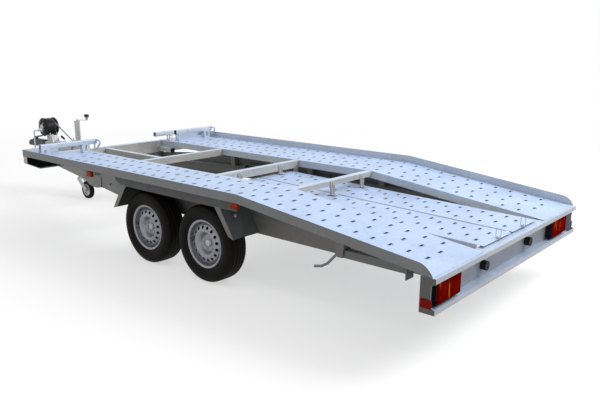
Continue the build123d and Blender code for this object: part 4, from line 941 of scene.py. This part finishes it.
# %% [markdown]
# ## Rear beam: lamps, reflectors and pins
# The long lamps sit deep in the channel's ends, in black housings. A lens is a block with
# upright ribs, and in the lower half the fine prisms of a reflector. The ramps are held by two
# pins with wire handles.

# %% Lamps and small parts at the rear
LAMP_X, LAMP_Z = 0.850, 0.409
LAMP_W, LAMP_H, HOUSING_WALL = 0.270, 0.132, 0.006
LAMP_FACE_Y, LAMP_BACK_Y = REAR_Y + 0.033, REAR_Y + 0.088
SEAMS, SEAM_WIDTH = (-0.34, 0.38), 0.012
PLATE_X = (1.0752, 1.0800)


def lens_points(centre_x, rows=40, columns=90):
    """Grid over the lens; it sinks towards its rim, ribs cross it, and two seams part it."""
    u = np.linspace(-1, 1, columns)[None, :]
    v = np.linspace(-1, 1, rows)[:, None]
    rim = np.clip((1 - np.abs(u)) / 0.05, 0, 1) * np.clip((1 - np.abs(v)) / 0.09, 0, 1)
    ribs = 0.0009 * np.cos(u * 34 * pi) * (v < 0.15) + 0.0007 * np.cos(v * 22 * pi) * (v >= 0.15)
    seams = 0.0022 * sum(np.exp(-((u - seam) / SEAM_WIDTH) ** 2) for seam in SEAMS)
    y = LAMP_FACE_Y + 0.012 - 0.012 * np.sqrt(rim) - rim * (ribs - seams)
    shape = (rows, columns)
    return np.stack([centre_x + np.broadcast_to(u, shape) * LAMP_W / 2, np.broadcast_to(y, shape),
                     LAMP_Z + np.broadcast_to(v, shape) * LAMP_H / 2], -1)


for side, sx in SIDES:
    points = lens_points(sx * LAMP_X)
    lens = mesh_piece(f"lamp_lens_{side}", points, grid_faces(*points.shape[:2]))
    finish_piece(lens, "chassis", RED_LENS)
    shell = hollow((sx * LAMP_X, LAMP_Z), (LAMP_W + HOUSING_WALL, LAMP_H + HOUSING_WALL, 0.010),
                   (LAMP_W - HOUSING_WALL, LAMP_H - HOUSING_WALL, 0.006), "y",
                   LAMP_FACE_Y + 0.009, LAMP_BACK_Y)
    add_piece(f"lamp_housing_{side}", [shell], BLACK_PLASTIC, replaced=[f"tail_lamp_{side}"])
    mark_outline = rounded((-3.073, 0.380), 0.066, 0.050, 0.006)
    mark = prism(mark_outline, "x", *sorted(sx * x for x in PLATE_X))
    add_piece(f"corner_reflector_{side}", [mark], MARK_RED, "red_lens")

PIN_TOP, PIN_FOOT, PIN_SEAT = 0.603, 0.5455, 0.5412
PIN_HEAD = ((0, 0), (0, 0.016), (0.003, 0.016), (0.004, 0.011), (0.010, 0.010), (0.010, 0))
PIN_WIRE = ((-0.016, PIN_FOOT), (-0.016, PIN_TOP - 0.012), (-0.008, PIN_TOP), (0.008, PIN_TOP),
            (0.016, PIN_TOP - 0.012), (0.016, PIN_FOOT))
for side, x, y in (("right", 0.187, -3.068), ("left", -0.188, -3.063)):
    wire = rod([(x, y + shift, z) for shift, z in PIN_WIRE], 0.0022)
    add_piece(f"ramp_pin_{side}", [wire, turned(PIN_HEAD, (x, y, PIN_SEAT), UPWARDS)],
              BRIGHT_ZINC)
print("rear lamps and pins done")

# %% [markdown]
# ## Ramp clamps on the crossbeams
# Each ramp is held down by clamps behind two crossbeams: an upright folded plate, a foot that
# lies over the ramp, a bent wire and two bolts.

# %% Ramp clamps
MIDDLE_REAR_Y, BEND_REAR_Y = MIDDLE_Y - 0.030, BEND_BEAM_Y - 0.030
CLAMPS = ((-0.262, MIDDLE_REAR_Y), (0.232, MIDDLE_REAR_Y), (0.338, BEND_REAR_Y),
          (-0.053, BEND_REAR_Y))
top = UNDER_TOP_Z
for number, (x, y) in enumerate(CLAMPS, 1):
    foot = float(ramp_height(min(y, RAMP_FRONT_Y) - 0.02)) + 0.006
    wire = [(-0.016, -0.010, foot + 0.004), (-0.016, -0.012, top - 0.034),
            (-0.008, -0.012, top - 0.024), (0.008, -0.012, top - 0.024),
            (0.016, -0.012, top - 0.034), (0.016, -0.010, foot + 0.004)]
    parts = [prism(rounded((x, (top + foot) / 2), 0.050, top - foot, 0.006), "y", y - 0.0045,
                   y - 0.0003),
             prism(rounded((x, y - 0.024), 0.050, 0.046, 0.008), "z", foot, foot + 0.004),
             rod(np.array(wire) + (x, y, 0), 0.003)]
    parts += bolt_heads([(x, y - 0.0045, top - 0.012)], (0, -1, 0), 0.008)
    parts += bolt_heads([(x, y - 0.028, foot + 0.004)], UPWARDS, 0.012)
    add_piece(f"ramp_clamp_{number}", parts, FRAME_ZINC, "zinc_steel")
print("ramp clamps done")

# %% [markdown]
# ## Prop levers, winch and drawbar details
# A bent rod on each bracket locks the folded rear prop. The winch's black reel has two rims, a
# hub and wound strap. Its crank hangs at the left, and the strap runs back to the eye on the
# drawbar. The handbrake lever stands beside the housing with a rubber grip.

# %% Levers, reel, crank, strap and knob
LEVER = ((0.958, -2.424, 0.500), (0.962, -2.400, 0.478), (0.980, -2.347, 0.414),
         (0.992, -2.310, 0.392), (1.000, -2.262, 0.383))
for side, sx in SIDES:
    lever = rod(np.array(LEVER) * (sx, 1, 1), 0.0085, 14)
    add_piece(f"prop_lever_{side}", [lever], LIP_ZINC, "zinc_steel")
    washer = bolt_heads([(sx * 0.956, -2.425, 0.502)], (sx, 0, 0), 0.014)
    add_piece(f"prop_washer_{side}", washer, BRIGHT_ZINC)

REEL = np.array((0.0, 2.668, 0.760))
REEL_SECTION = ((-0.088, 0.0), (-0.088, 0.060), (-0.082, 0.084), (-0.072, 0.106),
                (-0.068, 0.1080), (-0.062, 0.1080), (-0.058, 0.103), (-0.050, 0.102),
                (0.018, 0.102), (0.026, 0.070), (0.052, 0.070), (0.054, 0.100), (0.060, 0.1075),
                (0.068, 0.1075), (0.078, 0.098), (0.086, 0.064), (0.088, 0.040), (0.088, 0.0))
add_piece("reel_cover", [turned(REEL_SECTION, REEL, ALONG_X, 64)], BLACK_PLASTIC,
          replaced=["winch_drum"])
WOUND = [(0.028 + 0.0012 * i, 0.091 - 0.004 * (i % 2)) for i in range(20)]
add_piece("strap_wound", [turned([(0.028, 0.071), *WOUND, (0.051, 0.071)], REEL, ALONG_X, 48)],
          WEBBING)
hubs = [turned(((x, 0.0), (x, 0.034), (x + d * 0.006, 0.030), (x + d * 0.010, 0.016),
                (x + d * 0.010, 0.0)), REEL, ALONG_X, 32) for x, d in ((-0.088, -1), (0.088, 1))]
stud_turns = np.arange(4) * pi / 2 + 0.6
for sx in (-1, 1):
    hubs += bolt_heads([REEL + (sx * 0.0855, 0.056 * cos(t), 0.056 * sin(t)) for t in stud_turns],
                       (sx, 0, 0), 0.009)
add_piece("reel_hubs", hubs, BRIGHT_ZINC)

crank_path = [(-0.088, 2.664, 0.730), (-0.178, 2.664, 0.730), (-0.190, 2.664, 0.718),
              (-0.192, 2.666, 0.528), (-0.200, 2.666, 0.520), (-0.228, 2.666, 0.520)]
boss = turned(((0.0, 0.0), (0.0, 0.028), (0.026, 0.024), (0.030, 0.016), (0.052, 0.015),
               (0.052, 0.0)), crank_path[0], (-1, 0, 0), 24)
add_piece("crank_rod", [rod(crank_path, 0.0085, 12), boss], BRIGHT_ZINC, replaced=["winch_crank"])

STRAP_TOP, STRAP_EYE = np.array((0.046, 2.592, 0.806)), np.array((0.002, 2.166, 0.642))
STRAP_STEPS = 24
along = (STRAP_EYE - STRAP_TOP) / np.linalg.norm(STRAP_EYE - STRAP_TOP)
wide = np.cross(along, UPWARDS) / np.linalg.norm(np.cross(along, UPWARDS))
thick = np.cross(wide, along)
share = np.linspace(0, 1, STRAP_STEPS)[:, None, None]
edge = rounded((0, 0), 0.018, 0.0028, 0.0012)
strap_grid = (STRAP_TOP + share * (STRAP_EYE - STRAP_TOP)
              + edge[None, :, :1] * wide + edge[None, :, 1:] * thick)
last = (STRAP_STEPS - 1) * len(edge)
strap = mesh_piece("strap_run", strap_grid, grid_faces(STRAP_STEPS, len(edge), wrap_columns=True),
                   caps=(range(len(edge)), range(last, last + len(edge))))
finish_piece(strap, "chassis", WEBBING, ["winch_strap"])
HOOK = ((0.012, 0.004), (-0.006, -0.004), (-0.026, -0.008), (-0.034, -0.022), (-0.024, -0.032),
        (-0.010, -0.026))
add_piece("strap_hook", [rod([STRAP_EYE + (0, *bend) for bend in HOOK], 0.0045)], BRIGHT_ZINC)

BRAKE_X = 0.060
stem = [(BRAKE_X, 2.402, 0.560), (BRAKE_X, 2.414, 0.588), (BRAKE_X, 2.428, 0.618),
        (BRAKE_X, 2.440, 0.628)]
add_piece("brake_stem", [rod(stem, 0.0075)], BRIGHT_ZINC)
GRIP = ((0.0, 0.0), (0.0, 0.010), (0.010, 0.0125), (0.030, 0.0115), (0.055, 0.0130),
        (0.072, 0.0125), (0.078, 0.008), (0.079, 0.0))
add_piece("brake_grip", [turned(GRIP, (BRAKE_X, 2.436, 0.626), (0, 0.932, 0.362))], SOFT_RUBBER)

KNOB = ((0.894, 0.0), (0.894, 0.0135), (0.904, 0.0150), (0.916, 0.0170), (0.925, 0.0262),
        (0.936, 0.0275), (0.944, 0.0265), (0.9495, 0.018), (0.9505, 0.0))
add_piece("crank_knob", [turned(KNOB, (0.069, JOCKEY_Y - 0.092, 0.0), UPWARDS, 28)],
          BLACK_PLASTIC)
print("drawbar details done")

# %% [markdown]
# ## Jockey wheel
# A black tyre with two ribs on a silver disc rim, between the cheeks of the swivel fork.

# %% Jockey wheel
JOCKEY = np.array((0.0, JOCKEY_Y - 0.130, 0.100))
JOCKEY_TYRE = ((-0.020, 0.066), (-0.024, 0.074), (-0.025, 0.088), (-0.021, 0.096), (-0.012, 0.0995),
               (-0.004, 0.0995), (-0.003, 0.097), (0.003, 0.097), (0.004, 0.0995), (0.012, 0.0995),
               (0.021, 0.096), (0.025, 0.088), (0.024, 0.074), (0.020, 0.066))
JOCKEY_DISC = ((-0.025, 0.0), (-0.025, 0.016), (-0.012, 0.018), (-0.010, 0.050), (-0.021, 0.056),
               (-0.022, 0.066), (0.022, 0.066), (0.021, 0.056), (0.010, 0.050), (0.012, 0.018),
               (0.025, 0.016), (0.025, 0.0))
add_piece("jockey_tyre", [turned(JOCKEY_TYRE, JOCKEY, ALONG_X, 64)], RUBBER, "black_rubber",
          ["jockey_wheel"], body="jockey_roller")
add_piece("jockey_disc", [turned(JOCKEY_DISC, JOCKEY, ALONG_X, 48)], BRIGHT_ZINC,
          body="jockey_roller")
print("jockey wheel done")

# %% [markdown]
# ## Floor, backdrop and light
# A catalogue picture: the object stands on a white floor that fades into a white background,
# under one large soft lamp from behind and to the right and a plain bright sky.

# %% Floor and light
FLOOR_FADE, FLOOR_R, FLOOR_SIDES = (4.0, 9.0), 60, 64
LAMP_PLACE, LAMP_AIM = Vector((4.5, -6.5, 6.5)), Vector((0.0, -0.5, 0.4))


def seen_directly(tree):
    """1 for the rays by which the camera sees a surface, also in a mirror or through glass."""
    path = put_node(tree, "ShaderNodeLightPath").outputs
    return arithmetic(tree, "MAXIMUM", path["Is Camera Ray"], path["Is Glossy Ray"],
                      path["Is Transmission Ray"])


turns = np.arange(FLOOR_SIDES) * 2 * pi / FLOOR_SIDES
floor = bpy.data.objects.new("floor", bpy.data.meshes.new("floor"))
floor.data.from_pydata([(FLOOR_R * cos(a), FLOOR_R * sin(a), 0.0) for a in turns], [],
                       [list(range(FLOOR_SIDES))])
bpy.context.scene.collection.objects.link(floor)

floor_finish, tree, shader = new_finish("white_floor")
settle(tree, shader, Base_Color=(0.62, 0.62, 0.61), Roughness=0.9)
white = put_node(tree, "ShaderNodeEmission", Color=(1.0, 1.0, 1.0)).outputs[0]
pale = put_node(tree, "ShaderNodeBsdfDiffuse", Color=(0.97, 0.97, 0.97)).outputs[0]
where = put_node(tree, "ShaderNodeTexCoord").outputs["Object"]
spread = put_node(tree, "ShaderNodeVectorMath", where, operation="LENGTH").outputs["Value"]
fade = ramp(tree, spread, *FLOOR_FADE, 0.55, 1.0)
shown = put_node(tree, "ShaderNodeMixShader", fade, pale, white).outputs[0]
chosen = put_node(tree, "ShaderNodeMixShader", seen_directly(tree), shader.outputs[0], shown)
tree.links.new(chosen.outputs[0], tree.nodes["Material Output"].inputs["Surface"])
floor.data.materials.append(floor_finish)

world = bpy.data.worlds.new("studio")
bpy.context.scene.world = world
world.use_nodes = True
tree = world.node_tree
towards = put_node(tree, "ShaderNodeTexCoord").outputs["Generated"]
sky = ramp(tree, parts_of(tree, towards)["Z"], -0.1, 0.9, 0.30, 0.95)
settle(tree, tree.nodes["Background"], Color=(1.0, 1.0, 1.0),
       Strength=arithmetic(tree, "MAXIMUM", sky, seen_directly(tree)))

lamp_data = bpy.data.lights.new("softbox", "AREA")
lamp_data.shape = "DISK"
lamp_data.size = 5.0
lamp_data.energy = 650.0
lamp = bpy.data.objects.new("softbox", lamp_data)
bpy.context.scene.collection.objects.link(lamp)
lamp.location = LAMP_PLACE
lamp.rotation_mode = "QUATERNION"
lamp.rotation_quaternion = (LAMP_PLACE - LAMP_AIM).to_track_quat("Z", "Y")
bpy.context.scene.view_settings.view_transform = "Standard"
